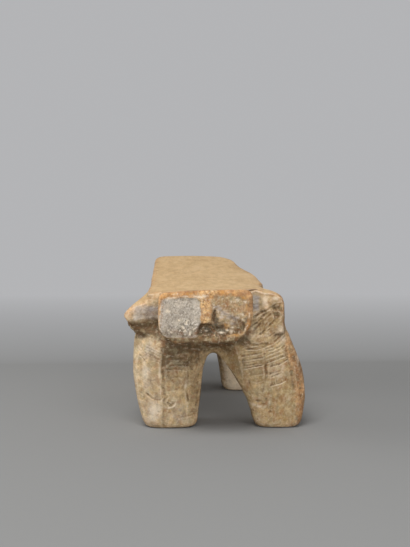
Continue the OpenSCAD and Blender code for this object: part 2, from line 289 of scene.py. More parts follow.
# Places where the blade stopped: across in x, up in z, depth, and how far above the stroke reached.
RIGHT_STROKES = (
    ((31.2, 44.0, 57.3), (91.2, 94.0, 96.6), 0.9, 2.6),
    ((33.6, 46.4, 60.7), (86.0, 88.6, 91.0), 0.8, 2.4),
    ((37.1, 48.0, 60.7), (79.2, 82.0, 84.4), 0.8, 2.2),
    ((34.6, 46.4, 60.7), (75.8, 78.8, 81.8), 1.1, 2.8),
    ((45.5, 53.0, 60.7), (67.2, 69.4, 70.6), 0.4, 4.0),
    ((39.0, 52.0, 64.0), (100.6, 101.6, 104.6), 0.8, 2.4),
    ((62.4, 72.0, 88.5), (93.0, 96.6, 101.6), 0.8, 2.4),
    ((62.4, 71.7, 86.0), (88.5, 91.6, 96.0), 0.8, 2.4),
    ((63.2, 75.9, 88.5), (83.6, 87.8, 92.1), 1.0, 2.4),
    ((67.4, 78.4, 90.0), (79.2, 81.4, 87.8), 0.9, 2.2),
    ((66.6, 75.0, 81.8), (68.9, 71.4, 74.0), 0.9, 2.6),
    ((68.3, 75.0, 82.6), (64.6, 67.2, 71.4), 1.1, 2.6),
    ((69.1, 80.1, 88.5), (54.7, 57.7, 62.0), 1.1, 4.2),
    ((44.0, 52.0, 58.0), (60.5, 58.8, 61.0), 0.4, 4.0),
)
LEFT_STROKES = (
    ((-49.0, -34.0, -19.5), (96.6, 97.0, 96.2), 0.7, 2.0),
    ((-61.0, -50.0, -40.0), (88.4, 88.9, 88.2), 0.8, 2.2),
    ((-50.4, -41.0, -31.9), (84.4, 84.8, 83.8), 1.0, 2.2),
    ((-58.0, -46.0, -33.5), (80.4, 81.0, 80.6), 0.8, 2.4),
    ((-60.0, -48.0, -36.0), (75.2, 75.8, 74.8), 0.5, 2.6),
    ((-62.0, -48.0, -36.0), (65.2, 65.8, 64.6), 0.35, 3.6),
    ((-60.0, -48.0, -37.0), (48.6, 50.2, 49.0), 0.35, 3.6),
    ((-83.3, -76.0, -67.3), (92.1, 90.0, 87.8), 0.8, 2.0),
    ((-82.0, -76.0, -68.0), (88.8, 87.6, 85.0), 0.5, 1.8),
    ((-97.0, -92.0, -87.5), (97.0, 91.5, 86.0), 0.5, 1.8),
    ((-96.0, -91.0, -86.0), (106.0, 101.0, 95.5), 0.6, 1.8),
    ((-97.0, -94.0, -90.5), (88.0, 84.0, 79.5), 0.5, 1.8),
    ((-90.0, -82.0, -74.0), (63.4, 61.2, 62.4), 0.3, 2.0),
    ((-47.0, -36.0, -25.0), (13.4, 15.4, 16.4), 0.4, 1.8),
    ((-45.0, -36.0, -26.0), (18.0, 20.0, 20.4), 0.3, 1.8),
)
LIP = (-0.8, 0.7)       # the lip's place and width, measured up from where the blade stopped; it is raised a little and has a painted highlight
SHADOW = (0.7, 0.9)     # and the same of the painted shadow above it

# Bent cuts, each as its points, depth and width; a ridge has a negative depth.
KNOT_CUTS = (
    (((-60.0, 33.8), (-57.0, 31.0), (-55.6, 31.2)), 1.3, 1.3),
    (((-53.6, 34.0), (-52.6, 32.0)), 1.2, 1.2),
    (KNOT_LIP, -0.6, 1.0),
)
SHOULDER_CUTS = (
    (((48.5, 141.8), (55.0, 146.2), (61.2, 149.1)), 1.6, 1.3),
    (((57.0, 171.0), (60.0, 162.0), (62.5, 152.0)), -1.2, 3.6),
    (((41.0, 174.6), (50.0, 175.2), (63.0, 173.6)), 1.3, 1.1),
    (((37.0, 114.0), (44.0, 108.0), (54.0, 105.5), (64.0, 108.0)), 0.9, 1.6),
)
# Chips off the legs' edges: x, z, width, height and depth.
CHIPS = (
    (54.0, 34.5, 4.8, 2.4, 1.9), (59.5, 31.0, 3.4, 2.0, 1.1), (63.4, 36.6, 2.4, 4.2, 0.9),
    (52.2, 43.0, 2.4, 3.6, 0.9), (96.0, 73.0, 2.2, 4.4, 0.8), (108.0, 40.5, 1.8, 4.0, 0.6),
    (-23.4, 86.0, 1.6, 4.2, 0.8), (-29.3, 75.8, 1.4, 1.6, 0.5), (69.0, 22.0, 3.0, 2.0, 0.5),
)
# Dark torn fibres in the right shoulder's front.
SHOULDER_FIBRES = (
    ((62.8, 151.1), (67.6, 154.6), (75.9, 158.1), (83.4, 158.8)),
    ((83.4, 158.1), (82.7, 149.0), (78.6, 139.2), (75.2, 134.3)),
    ((71.8, 154.6), (77.2, 149.0), (76.6, 139.2)),
    ((75.9, 156.0), (80.0, 149.0), (77.9, 140.6)),
    ((69.0, 151.1), (73.1, 144.8), (74.5, 136.4)),
    ((47.1, 125.2), (53.9, 132.2), (62.2, 140.6), (70.4, 147.6)),
    ((44.3, 129.4), (52.6, 136.4), (62.2, 146.2)),
    ((56.0, 121.0), (66.0, 131.0), (72.0, 137.0)),
)
# Where the right leg's front turns to its outer flat: up, and across.
OUTER_EDGE = ((40.0, 60.0, 83.0, 112.0), (100.0, 96.0, 91.0, 86.0))

# The grip's end: patch, gouge and facet by their corners, the ridge by level, middle and half width.
PATCH = ((-68.0, 125.5), (-20.5, 171.0))
GOUGE = ((-24.0, 124.0), (13.0, 141.0))
FACET = ((-8.0, 128.0), (31.8, 173.5))
RIDGE = ((142.0, 155.0, 168.0, 176.0), (-12.4, -13.0, -14.2, -14.5), (4.0, 4.6, 6.6, 13.0))
NOTCH_LINE = ((-4.4, 156.0), (-5.0, 149.0), (-2.0, 141.5))
PIN_HOLE = (-40.5, 167.6, 1.3, 1.3)


def shave(points, through, normal, weight):
    """Plane the wood off beyond a flat, as one long adze cut does."""
    normal = np.array(normal, float)
    normal /= np.linalg.norm(normal)
    beyond = (points - np.array(through)) @ normal
    return points - (np.maximum(beyond, 0.0) * weight)[:, None] * normal


def sink(points, depth):
    """Push the front of the wood back along the log."""
    moved = points.copy()
    moved[:, 1] += depth
    return moved


def leg_weight(points):
    """1 on the legs' faces, 0 at the seat."""
    return ramp(points[:, 2], LEG_TOP + 6.0, LEG_TOP - 8.0)


def plane_left_front(points):
    """The left front leg has three long flats: outer, middle and inner."""
    here = leg_weight(points) * (points[:, 0] < front_left_high[0]) * ramp(points[:, 1], -120.0, -135.0)
    at_groove = (-66.0, LEFT_FACE_Y - 0.3, 0.0)
    points = shave(points, at_groove, (-0.29, -1.0, -FRONT_LEAN), here)
    points = shave(points, at_groove, (0.085, -1.0, -FRONT_LEAN), here)
    at_crease = (-35.5, LEFT_FACE_Y + 2.3, 0.0)
    return shave(points, at_crease, (0.62, -1.0, -FRONT_LEAN), here)


def plane_right_front(points):
    """The right front leg has a slanting inner flat, a broad front and an outer flat."""
    here = leg_weight(points) * (points[:, 0] >= front_left_high[0]) * ramp(points[:, 1], -110.0, -125.0)
    knee = 59.0
    knee_y = RIGHT_FACE_Y - FRONT_LEAN * knee
    points = shave(points, (41.0, knee_y + 0.4, knee), (-0.95, -1.0, -0.95 * 0.371), here)
    points = shave(points, (97.0, knee_y + 1.0, knee), (0.75, -1.0, 0.10), here)
    return shave(points, (72.0, RIGHT_FACE_Y + 0.6, 0.0), (0.035, -1.0, -FRONT_LEAN * 0.8), here)


def plane_lug(points):
    """The left shoulder is cut up under its tip."""
    x, y, z = points.T
    here = band(z, 119.0, 142.0, 3.0) * (x < -90.0) * ramp(y, -100.0, -125.0)
    return shave(points, (-112.0, 0.0, 138.0), (-0.78, 0.0, -0.63), here)


def stroke_depth(x, z, ragged):
    """Steps left by the blade: deepest at the line where it stopped, running out above."""
    depth = np.zeros(len(x))
    for across, up, deep, reach in RIGHT_STROKES + LEFT_STROKES:
        above = z - np.interp(x, across, up)
        run = np.exp(-np.maximum(above, 0.0) / reach) * ramp(above, -0.5, 0.7)
        ends = ramp(x, across[0] - 1.5, across[0] + 2.0) * ramp(x, across[-1] + 1.5, across[-1] - 2.0)
        depth = np.maximum(depth, deep * run * ends * (0.75 + 0.5 * ragged))
    return depth


def stroke_lines(x, z, strokes, level, width):
    """A line along each step, from 0 to 1, at a level over where the blade stopped."""
    lines = np.zeros(len(x))
    for across, up, deep, _ in strokes:
        above = z - np.interp(x, across, up)
        ends = ramp(x, across[0] - 1.0, across[0] + 2.0) * ramp(x, across[-1] + 1.0, across[-1] - 2.0)
        lines = np.maximum(lines, min(deep, 1.0) * dome(above, level, width) * ends)
    return lines


def cut_lines(x, z, lines):
    """The depth of several bent cuts together."""
    return sum(deep * scored(x, z, line, width) for line, deep, width in lines)


def wavering(points, sway, size, seed):
    """Across and up, wavering as a hand-cut line does."""
    x = points[:, 0] + sway * lattice_noise(points, size, seed)
    z = points[:, 2] + sway * lattice_noise(points, size, seed + 1)
    return x, z


def hand_drawn(points):
    """Across and up for the lines on the legs' fronts."""
    return wavering(points, 0.7, 13.0, 3)


def front_cut_depth(points, normals):
    """How deep each mark goes into the fronts of the legs."""
    x, z = hand_drawn(points)
    ragged = lattice_noise(points, 6.0, 12)
    depth = stroke_depth(x, z, ragged)
    depth -= 0.22 * stroke_lines(x, z, RIGHT_STROKES + LEFT_STROKES, *LIP)

    # The groove, the crack and the creases, each opening along a part of its length.
    open_part = 0.25 + 0.25 * ramp(ragged, -0.2, 0.5) + 1.7 * band(z, 62.0, 100.0, 9.0)
    depth += open_part * scored(x, z, GROOVE_LINE, 2.1) * (1.0 + 0.5 * ragged)
    away, along = to_line(x, z, CRACK_LINE)
    depth += 0.8 * dome(away, 0.0, 1.0) * band(along, 0.05, 0.95, 0.1)
    depth += (0.35 + 0.9 * band(z, 35.0, 47.0, 3.0)) * scored(x, z, INNER_CREASE, 1.6)
    depth += (0.3 + 0.9 * band(z, 66.0, 82.0, 5.0)) * scored(x, z, MIDDLE_CREASE, 1.7)

    # Fine curved scratches that follow the growth rings, broken up along their length.
    ring = np.hypot(x - PITH[0], z - PITH[1]) + 0.7 * ragged
    broken = ramp(lattice_noise(points * (0.4, 1.0, 1.0), 4.2, 13), -0.1, 0.5)
    fine = 0.5 * window(x, z, (-103.0, -67.0, 2.0), (88.0, 116.0, 6.0))
    fine = np.maximum(fine, 0.35 * window(x, z, (34.0, 92.0, 4.0), (74.0, 112.0, 8.0)))
    depth += 0.7 * rows(ring, 3.4) ** 2 * broken * np.maximum(fine, 0.03)

    # Shallow dents all over, where small splinters came away.
    depth += 0.40 * ramp(lattice_noise(points, 7.5, 31), 0.25, 0.8)
    depth += 0.22 * ramp(lattice_noise(points, 3.2, 32), 0.25, 0.9)

    # A band of short upright nicks across the right leg, just above its lowest long stroke.
    nicks = rows(x + 0.3 * z, 2.7, 1.5 * ragged) * ramp(lattice_noise(points, 4.0, 24), -0.5, 0.4)
    above = z - np.interp(x, *HATCH_LINE)
    depth += 0.6 * nicks * band(above, 0.8, 5.5, 2.0) * band(x, 70.0, 88.0, 3.0)

    depth += cut_lines(x, z, KNOT_CUTS)
    for *place, deep in CHIPS:
        depth += deep * spot(x, z, *place)

    facing = ramp(-normals[:, 1], 0.15, 0.6)
    return depth * facing * ramp(points[:, 2], LEG_TOP + 8.0, LEG_TOP - 2.0) * (points[:, 1] < -120.0)


def fibre_lines(x, z):
    """The dark fibres of the right shoulder, from 0 to 1."""
    return np.maximum.reduce([scored(x, z, fibre, 1.0) for fibre in SHOULDER_FIBRES])


def knob_hollow(points):
    """The rough hollow in the right shoulder's front, wide above and pointed below, from 0 to 1."""
    x, z = wavering(points, 3.0, 5.5, 41)
    half_width = np.interp(z, (132.0, 150.0, 160.0), (0.0, 6.5, 8.2))
    return ramp(np.abs(x - 75.6), half_width + 3.5, half_width - 4.0) * band(z, 138.0, 157.0, 4.5)


def shoulder_cut_depth(points, normals):
    """The cove under the lug, the hollow of the right shoulder and the fibres torn below it."""
    x, z = wavering(points, 0.9, 11.0, 5)
    ragged = lattice_noise(points, 5.0, 14)

    # The leg is cut back under the lug, so the lug overhangs it.
    brow = 139.0 + 0.12 * (x + 90.0)
    cove = ramp(z, brow + 3.0, brow - 15.0) * ramp(z, 96.0, 121.0)
    depth = COVE_DEPTH * cove * band(x, -114.0, -66.0, 5.0)

    # The right shoulder: the hollow, its fibres, the slit and ridge beside it, and the stroke under it.
    depth += (1.5 + 1.0 * ragged) * knob_hollow(points) + 0.5 * fibre_lines(x, z) * (1.0 + ragged)
    depth += cut_lines(x, z, SHOULDER_CUTS)

    # Strokes that fan out from under the shoulder.
    fan = np.hypot(x - 40.0, (z - 178.0) * 0.9) + 1.0 * ragged
    broken = ramp(lattice_noise(points, 5.0, 15), -0.15, 0.5)
    depth += 0.6 * rows(fan, 3.8) ** 2 * broken * window(x, z, (36.0, 92.0, 4.0), (98.0, 138.0, 6.0))
    depth += 0.5 * np.maximum(ragged, 0.0) * window(x, z, (40.0, 96.0, 4.0), (112.0, 176.0, 6.0))

    facing = ramp(-normals[:, 1], 0.1, 0.6)
    return depth * facing * band(points[:, 1], -172.0, -140.0, 3.0) * (points[:, 2] > 92.0)


def end_face_shares(points):
    """How far each place on the grip's end is patch, facet, ridge, gouge or notch, from 0 to 1."""
    x, z = wavering(points, 1.5, 9.0, 8)
    fine_x, fine_z = wavering(points, 0.8, 3.4, 18)
    x = x + fine_x - points[:, 0]
    z = z + fine_z - points[:, 2]
    patch = ramp(rounded_box(x, z, *PATCH, 8.0), 0.9, -0.9)
    facet = ramp(rounded_box(x, z, *FACET, 9.0), 2.4, -2.4)
    levels, middles, widths = RIDGE
    width = np.interp(z, levels, widths)
    off_middle = np.abs(x - np.interp(z, levels, middles))
    ridge = ramp(off_middle, width + 0.9, width - 0.9) * ramp(z, 140.5, 143.0)
    gouge = ramp(rounded_box(x, z, *GOUGE, 6.0), 2.0, -2.5)
    away, along = to_line(x, z, NOTCH_LINE)
    notch = ramp(away, 1.6 + 3.4 * along, 0.4 + 1.8 * along)
    return x, z, patch, facet, ridge, gouge, notch


def grip_cut_depth(points, normals):
    """The sawn end of the grip: flat patch, rim, ridge, notch, gouge and slanting facet."""
    x, z, patch, facet, ridge, gouge, notch = end_face_shares(points)
    rough = lattice_noise(points, 2.6, 11)
    lumps = lattice_noise(points, 6.0, 16)
    upper = 1.3 + 0.05 * (x + 7.0) + 0.04 * (150.0 - z)
    lower = 2.6 + 0.10 * (x + 7.0) - 0.09 * (z - 150.0)
    below = ramp(z + 0.58 * x, 161.0, 157.0)
    slant = upper * (1.0 - below) + lower * below + 0.6 * rough + 0.5 * lumps
    depth = 0.7 + 0.7 * lumps + 0.3 * rough
    for share, level in (
        (patch, 1.3),
        (facet, slant),
        (ridge, 0.2 + 0.45 * rough),
        (gouge, 6.8 + 1.7 * rough + 1.3 * lumps),
        (notch, 6.0),
    ):
        depth = depth * (1.0 - share) + level * share
    depth += 1.5 * spot(x, z, *PIN_HOLE)
    facing = ramp(-normals[:, 1], 0.35, 0.75)
    return np.maximum(depth, 0.0) * facing * ramp(points[:, 1], *END_Y)


def step_softness(points):
    """Where forms run softly into each other: shoulders, seat, rear roots, soles and the arch's crown."""
    x, y, z = points.T
    beside_grip = np.maximum(band(x, -96.0, -72.0, 4.0), 0.5 * band(x, 52.0, 66.0, 4.0))
    beside_grip = beside_grip * ramp(y, -154.0, -160.0) * ramp(z, 118.0, 124.0)
    behind = band(y, lug_high[1] - 14.0, lug_high[1] + 12.0, 5.0) * (x > 40.0) * ramp(z, 110.0, 120.0)
    base, slope = rear_land()
    rear_span = band(y, rear_left_low[1] - 14.0, rear_left_high[1] + 14.0, 5.0)
    roots = 0.9 * band(z - base - slope * y, -13.0, 7.0, 5.0) * rear_span
    soles = 0.8 * ramp(z, 13.0, 5.0)
    crown = window(x, z, (-22.0, 16.0, 6.0), (90.0, 116.0, 6.0)) * ramp(y, -105.0, -125.0)
    return np.maximum.reduce([beside_grip, behind, roots, soles, crown])


def carved(points, mesh, web):
    """All the cuts, one after the other, as the carver would work down from big to small."""
    points = plane_lug(plane_right_front(plane_left_front(points)))
    points = relaxed(points, web, 2)
    points = relaxed(points, web, 60, 0.5 * step_softness(points)[:, None])
    set_points(mesh, points)
    points = sink(points, shoulder_cut_depth(points, get_normals(mesh)))
    set_points(mesh, points)
    normals = get_normals(mesh)
    return sink(points, front_cut_depth(points, normals) + grip_cut_depth(points, normals))


# Nodes.


class Nodes:
    """Short ways to put nodes into a tree."""

    def __init__(self, tree):
        self.tree = tree

    def join(self, source, target):
        """Link one socket to another."""
        self.tree.links.new(source, target)

    def add(self, kind, inputs=None, **settings):
        """A node; each of its inputs is a value, or a socket to link to it."""
        node = self.tree.nodes.new(kind)
        for name, value in settings.items():
            setattr(node, name, value)
        for key, value in (inputs or {}).items():
            socket = node.inputs[key]
            if isinstance(value, bpy.types.NodeSocket):
                self.join(value, socket)
            else:
                socket.default_value = (*value, 1.0) if socket.type == "RGBA" else value
        return node

    def math(self, operation, one, other=0.0):
        return self.add("ShaderNodeMath", {0: one, 1: other}, operation=operation).outputs[0]

    def times(self, one, other):
        return self.math("MULTIPLY", one, other)

    def plus(self, total, value, share):
        """A running total with a share of one more value in it."""
        return self.math("ADD", total, self.times(value, share))

    def vector(self, operation, one, other):
        return self.add("ShaderNodeVectorMath", {0: one, 1: other}, operation=operation).outputs[0]

    def scale(self, vector, factor):
        return self.add("ShaderNodeVectorMath", {0: vector, "Scale": factor}, operation="SCALE").outputs[0]

    def length(self, vector):
        return self.add("ShaderNodeVectorMath", {0: vector}, operation="LENGTH").outputs["Value"]

    def noise(self, vector, detail, rough=0.55, distort=0.0):
        """Noise from 0 to 1."""
        shape = {"Scale": 1.0, "Detail": detail, "Roughness": rough, "Distortion": distort}
        return self.add("ShaderNodeTexNoise", {"Vector": vector, **shape}).outputs["Fac"]

    def lumps(self, vector, size, *shape):
        """Noise with lumps of the size given in each direction."""
        return self.noise(self.vector("DIVIDE", vector, size), *shape)

    def remap(self, value, low, high, new_low=0.0, new_high=1.0):
        """A value's range moved to another, and clipped there."""
        inputs = {"Value": value, "From Min": low, "From Max": high, "To Min": new_low, "To Max": new_high}
        return self.add("ShaderNodeMapRange", inputs).outputs["Result"]

    def crease(self, value, width):
        """1 where a noise passes its middle, 0 beyond a width from it."""
        return self.remap(self.math("ABSOLUTE", self.math("SUBTRACT", value, 0.5)), 0.0, width, 1.0, 0.0)

    def mix(self, share, one, other, blend="MIX"):
        """One colour over another."""
        inputs = {0: share, 6: one, 7: other}
        return self.add("ShaderNodeMix", inputs, data_type="RGBA", blend_type=blend).outputs[2]


def blank_group(name, kind, inputs, outputs):
    """A node group with its named sockets: its nodes, what it is given and what it gives."""
    tree = bpy.data.node_groups.new(name, kind)
    for title, sort, value in inputs:
        socket = tree.interface.new_socket(name=title, in_out="INPUT", socket_type="NodeSocket" + sort)
        if value is not None:
            socket.default_value = (*value, 1.0) if sort == "Color" else value
    for title, sort in outputs:
        tree.interface.new_socket(name=title, in_out="OUTPUT", socket_type="NodeSocket" + sort)
    given = tree.nodes.new("NodeGroupInput").outputs
    result = tree.nodes.new("NodeGroupOutput").inputs
    return Nodes(tree), given, result


# Tool marks, by Geometry Nodes.

# Where the adze worked, the size of its scoops, their depth and the blade's chatter in metres, and a seed.
ADZE_WORK = (
    ("worked_legs", (0.021, 0.024, 0.046), 0.0017, 0.0007, SKIN_SEED),
    ("worked_body", (0.030, 0.052, 0.019), 0.0013, 0.0005, SKIN_SEED + 4),
)
ADZE_WANDER = 0.7


def tool_mark_tree():
    """Shallow scoops side by side over the surface, as an adze leaves them."""
    inputs = (
        ("Geometry", "Geometry", None),
        ("Stroke Size", "Vector", (0.02, 0.02, 0.05)),
        ("Stroke Depth", "Float", 0.001),
        ("Wander", "Float", 0.5),
        ("Chatter", "Float", 0.0002),
        ("Worked Area", "String", "worked_legs"),
        ("Seed", "Int", SKIN_SEED),
    )
    nodes, given, result = blank_group("Tool marks", "GeometryNodeTree", inputs, [("Geometry", "Geometry")])
    place = nodes.add("GeometryNodeInputPosition").outputs["Position"]
    scaled = nodes.vector("DIVIDE", place, given["Stroke Size"])
    drift = {"Vector": scaled, "W": given["Seed"], "Scale": 0.6, "Detail": 1.0}
    wander = nodes.add("ShaderNodeTexNoise", drift, noise_dimensions="4D")
    moved = nodes.vector("ADD", scaled, nodes.scale(wander.outputs["Color"], given["Wander"]))
    cells = {"Vector": moved, "W": given["Seed"], "Scale": 1.0, "Smoothness": 0.12, "Randomness": 0.85}
    scoops = nodes.add("ShaderNodeTexVoronoi", cells, voronoi_dimensions="4D", feature="SMOOTH_F1")
    hollow = nodes.remap(nodes.math("POWER", scoops.outputs["Distance"], 2.0), 0.0, 0.75, 1.0, 0.0)
    chatter = nodes.add("ShaderNodeTexNoise", {"Vector": scaled, "Scale": 9.0, "Detail": 2.0})
    deep = nodes.times(hollow, given["Stroke Depth"])
    deep = nodes.plus(deep, chatter.outputs["Fac"], given["Chatter"])
    area = nodes.add("GeometryNodeInputNamedAttribute", {"Name": given["Worked Area"]}, data_type="FLOAT")
    inward = nodes.times(nodes.times(deep, area.outputs["Attribute"]), -1.0)
    offset = nodes.scale(nodes.add("GeometryNodeInputNormal").outputs["Normal"], inward)
    cut = nodes.add("GeometryNodeSetPosition", {"Geometry": given["Geometry"], "Offset": offset})
    real = nodes.add("GeometryNodeRealizeInstances", {"Geometry": cut.outputs["Geometry"]})
    wood = nodes.add("GeometryNodeSetMaterial", {"Geometry": real.outputs["Geometry"]})
    nodes.join(wood.outputs["Geometry"], result["Geometry"])
    return nodes.tree, wood.inputs["Material"]


def set_inputs(modifier, values):
    """Set a Geometry Nodes modifier's inputs, each by its socket's identifier."""
    for item in modifier.node_group.interface.items_tree:
        if item.item_type == "SOCKET" and item.in_out == "INPUT" and item.name in values:
            modifier[item.identifier] = values[item.name]


def set_field(mesh, name, values):
    """Keep one number for each vertex on the mesh."""
    field = mesh.attributes.get(name) or mesh.attributes.new(name, "FLOAT", "POINT")
    field.data.foreach_set("value", values.astype(np.float32))


def adzed(mesh, tree):
    """The skin with scoops on the legs, and longer ones along the sides and underside."""
    points = get_points(mesh)
    y = points[:, 1]
    z = points[:, 2]
    off_sole = ramp(z, 0.5, 5.0)
    on_top = ramp(get_normals(mesh)[:, 2], 0.35, 0.75) * ramp(z, 150.0, 165.0)
    off_end = ramp(y, -219.0, -211.0)
    legs = ramp(z, 132.0, 108.0) * off_sole
    set_field(mesh, "worked_legs", legs * (1.0 - 0.45 * ramp(y, -140.0, -158.0)) * off_end)
    set_field(mesh, "worked_body", (1.0 - legs) * (1.0 - 0.93 * on_top) * off_end * off_sole)
    skin = link(mesh, "log_adzed")
    for area, size, deep, chatter, seed in ADZE_WORK:
        marks = skin.modifiers.new(area, "NODES")
        marks.node_group = tree
        blade = {"Stroke Size": size, "Stroke Depth": deep, "Wander": ADZE_WANDER, "Chatter": chatter}
        set_inputs(marks, {"Worked Area": area, "Seed": seed, **blade})
    return evaluated_mesh(skin)


# Wear, with painted light and shade.

CRACK_DEEP = 0.26       # a crack or a ridge of this size shows in full
HOLLOW_DEEP = 1.3       # and so does a broad hollow or edge
CRACK_PASSES = 5        # smoothing that a crack is measured against
HOLLOW_PASSES = 36      # and the further smoothing for a hollow

# Soft spots on the fronts, each as x, z, width and height.
LILAC_SPOTS = (
    (-80.0, 22.0, 12.0, 20.0), (-48.0, 18.0, 10.0, 12.0), (-85.0, 62.0, 6.0, 18.0),
    (-82.0, 100.0, 8.0, 9.0),
)
PALE_SPOTS = (
    (48.5, 30.0, 4.0, 2.6), (55.0, 28.6, 4.4, 1.8), (-76.0, 24.0, 7.0, 12.0),
    (-88.5, 72.0, 3.6, 16.0), (80.5, 126.0, 4.6, 6.0), (84.0, 114.5, 4.2, 6.0),
    (61.2, 161.5, 4.6, 8.0), (74.0, 165.0, 5.0, 2.2), (88.0, 166.0, 4.0, 3.0),
    (-37.3, 54.3, 1.4, 3.0), (104.0, 86.0, 2.0, 7.0),
)
DARK_SPOTS = (
    (-23.4, 86.0, 1.8, 4.6), (-29.3, 75.8, 1.6, 1.6), (-25.5, 28.5, 1.2, 1.6),
    (-36.0, 42.6, 1.5, 4.0), (-64.6, 46.8, 2.0, 2.4), (-65.2, 16.0, 1.3, 5.5),
    (-66.0, 70.0, 1.8, 3.0), (96.0, 73.0, 2.2, 4.4), (108.0, 40.5, 1.8, 4.0),
    (103.0, 66.0, 2.2, 7.0), (106.0, 52.0, 1.6, 5.0), (98.0, 88.0, 2.0, 6.0),
    (100.0, 27.0, 3.0, 2.0), (79.0, 44.0, 1.4, 3.4), (90.0, 62.0, 1.6, 4.0), (70.0, 84.0, 1.8, 3.4),
    (52.3, 26.7, 1.6, 1.4), (65.8, 28.5, 1.3, 2.4), (68.3, 21.6, 1.0, 2.0), (63.0, 77.5, 1.6, 7.0),
    (34.5, 88.0, 2.4, 8.0), (42.0, 60.0, 1.6, 5.0), (-90.0, 146.5, 7.0, 2.4),
    (-103.0, 145.0, 1.1, 4.0), (-99.0, 150.5, 0.9, 3.0),
)
# Lines on the sawn end, each as its points and its width, by their colour.
END_LINES = {
    "cream": (
        # The first two cream lines run along the rim and are painted highlights.
        (((-68.8, 162.0), (-69.2, 148.0), (-68.4, 136.0), (-64.5, 128.0)), 0.8),
        (((-60.0, 171.0), (-46.0, 172.6), (-36.0, 172.4)), 1.1),
        (((34.4, 140.0), (31.0, 133.0)), 0.5),
    ),
    "rust": (
        (((-66.4, 167.0), (-66.0, 150.0), (-66.2, 138.0)), 1.0),
        (((-65.0, 169.0), (-60.0, 173.0), (-48.0, 175.0), (-33.0, 175.6)), 1.1),
        (((-8.2, 168.0), (-8.0, 158.0), (-7.2, 146.0)), 1.0),
    ),
    "amber": (
        (((37.0, 160.0), (36.6, 150.0), (34.4, 141.0)), 1.0),
    ),
    "moss": (
        (((32.8, 157.0), (33.2, 147.0), (30.4, 138.0), (27.4, 130.0)), 0.9),
        (((27.4, 130.0), (17.0, 130.6), (9.0, 128.6)), 0.9),
        (((-62.0, 125.0), (-45.0, 122.6), (-28.0, 123.0)), 1.1),
    ),
}
# Spots on the sawn end, each as x, z, width and height, by their colour.
END_SPOTS = {
    "cream": (
        (-60.0, 155.4, 2.8, 1.6), (-45.5, 145.3, 1.3, 1.6), (-35.3, 145.7, 1.3, 1.3),
        (-37.6, 142.9, 1.2, 1.4), (-42.0, 137.2, 1.6, 1.3), (-39.8, 134.4, 1.3, 1.9),
        (-29.5, 136.0, 1.2, 1.5), (-33.0, 131.0, 1.0, 2.0), (-55.0, 132.0, 1.4, 1.2),
        # The cream spots along the top rim, at z 173.5 and above, are painted highlights; the others are
        # pale specks.
        (-59.0, 133.4, 1.2, 1.0), (-23.0, 173.5, 6.0, 1.8), (-16.5, 174.6, 4.0, 1.8),
        (-3.5, 182.4, 8.0, 1.1), (21.4, 170.0, 2.4, 2.6), (11.5, 150.8, 2.0, 1.6),
        (28.3, 151.0, 1.7, 1.3), (29.0, 144.6, 1.3, 1.1), (10.6, 132.8, 1.9, 1.4),
        (14.6, 131.2, 1.6, 1.4), (15.6, 135.8, 1.3, 1.2), (4.2, 130.6, 4.2, 0.9),
        (32.5, 167.0, 2.2, 1.8), (36.4, 152.0, 0.9, 2.6), (-13.0, 131.4, 1.6, 0.9),
        (-16.5, 135.5, 1.3, 0.8), (-20.5, 129.5, 1.2, 0.7),
    ),
    "lilac": (
        (-3.6, 160.4, 3.4, 1.9), (2.4, 157.4, 3.4, 2.2), (8.0, 153.0, 4.4, 3.0),
        (13.4, 149.4, 5.0, 3.2), (20.0, 146.8, 4.6, 2.8), (17.0, 140.4, 3.6, 2.4),
        (5.0, 148.4, 2.6, 2.2),
    ),
    "rust": (
        (9.5, 163.0, 3.2, 5.0), (26.4, 157.2, 4.0, 3.2), (17.4, 158.4, 2.6, 1.9),
        (30.2, 163.0, 1.5, 6.0), (-9.0, 159.0, 1.3, 7.0), (-15.5, 141.6, 3.4, 1.3),
        (-43.5, 172.9, 4.8, 0.9), (25.0, 176.3, 5.0, 1.3), (-25.6, 131.0, 2.4, 3.2),
        (-6.0, 119.6, 8.0, 2.2), (34.6, 158.5, 1.0, 5.5), (37.6, 149.5, 0.9, 6.0),
    ),
    "amber": (
        (9.8, 138.0, 2.5, 2.7), (20.5, 128.4, 5.5, 2.3), (33.6, 161.0, 1.9, 5.0),
        (5.0, 177.5, 5.0, 2.2), (30.0, 172.4, 3.4, 2.4), (-61.5, 173.0, 5.5, 1.6),
        (-52.0, 121.6, 4.2, 2.0), (-69.0, 136.0, 1.3, 6.0), (36.6, 141.0, 1.7, 4.0),
        (-31.0, 175.4, 9.0, 1.4),
    ),
    "moss": (
        (-4.2, 152.2, 2.2, 4.6), (-1.2, 147.0, 2.6, 2.8), (-12.0, 133.4, 6.0, 3.6),
        (-21.6, 134.0, 2.6, 2.2), (0.6, 136.6, 5.0, 3.4), (-3.0, 141.0, 4.6, 1.5),
        (24.0, 133.4, 3.4, 1.0), (-40.2, 139.2, 1.1, 0.9), (-43.8, 140.4, 1.0, 0.9),
        (-44.6, 135.6, 1.0, 1.0), (-36.6, 137.4, 0.9, 1.2), (-30.6, 138.6, 1.0, 1.3),
        (31.0, 146.6, 1.2, 1.0), (30.4, 140.4, 1.2, 2.2), (-34.0, 118.6, 12.0, 1.5),
        (-59.0, 121.6, 3.0, 2.2), (-67.0, 128.0, 2.0, 4.0), (-40.4, 167.8, 1.0, 1.0),
        (3.0, 134.0, 6.0, 5.0), (-8.0, 129.0, 8.0, 2.0),
    ),
}


def round_spots(x, z, spots):
    """The strongest of several soft spots."""
    return np.maximum.reduce([spot(x, z, *place) for place in spots])


def left_inner_flat(x, z):
    """The left front leg's flat beside the arch."""
    return band(x, -27.0, -10.0, 5.0) * ramp(z, 104.0, 92.0)


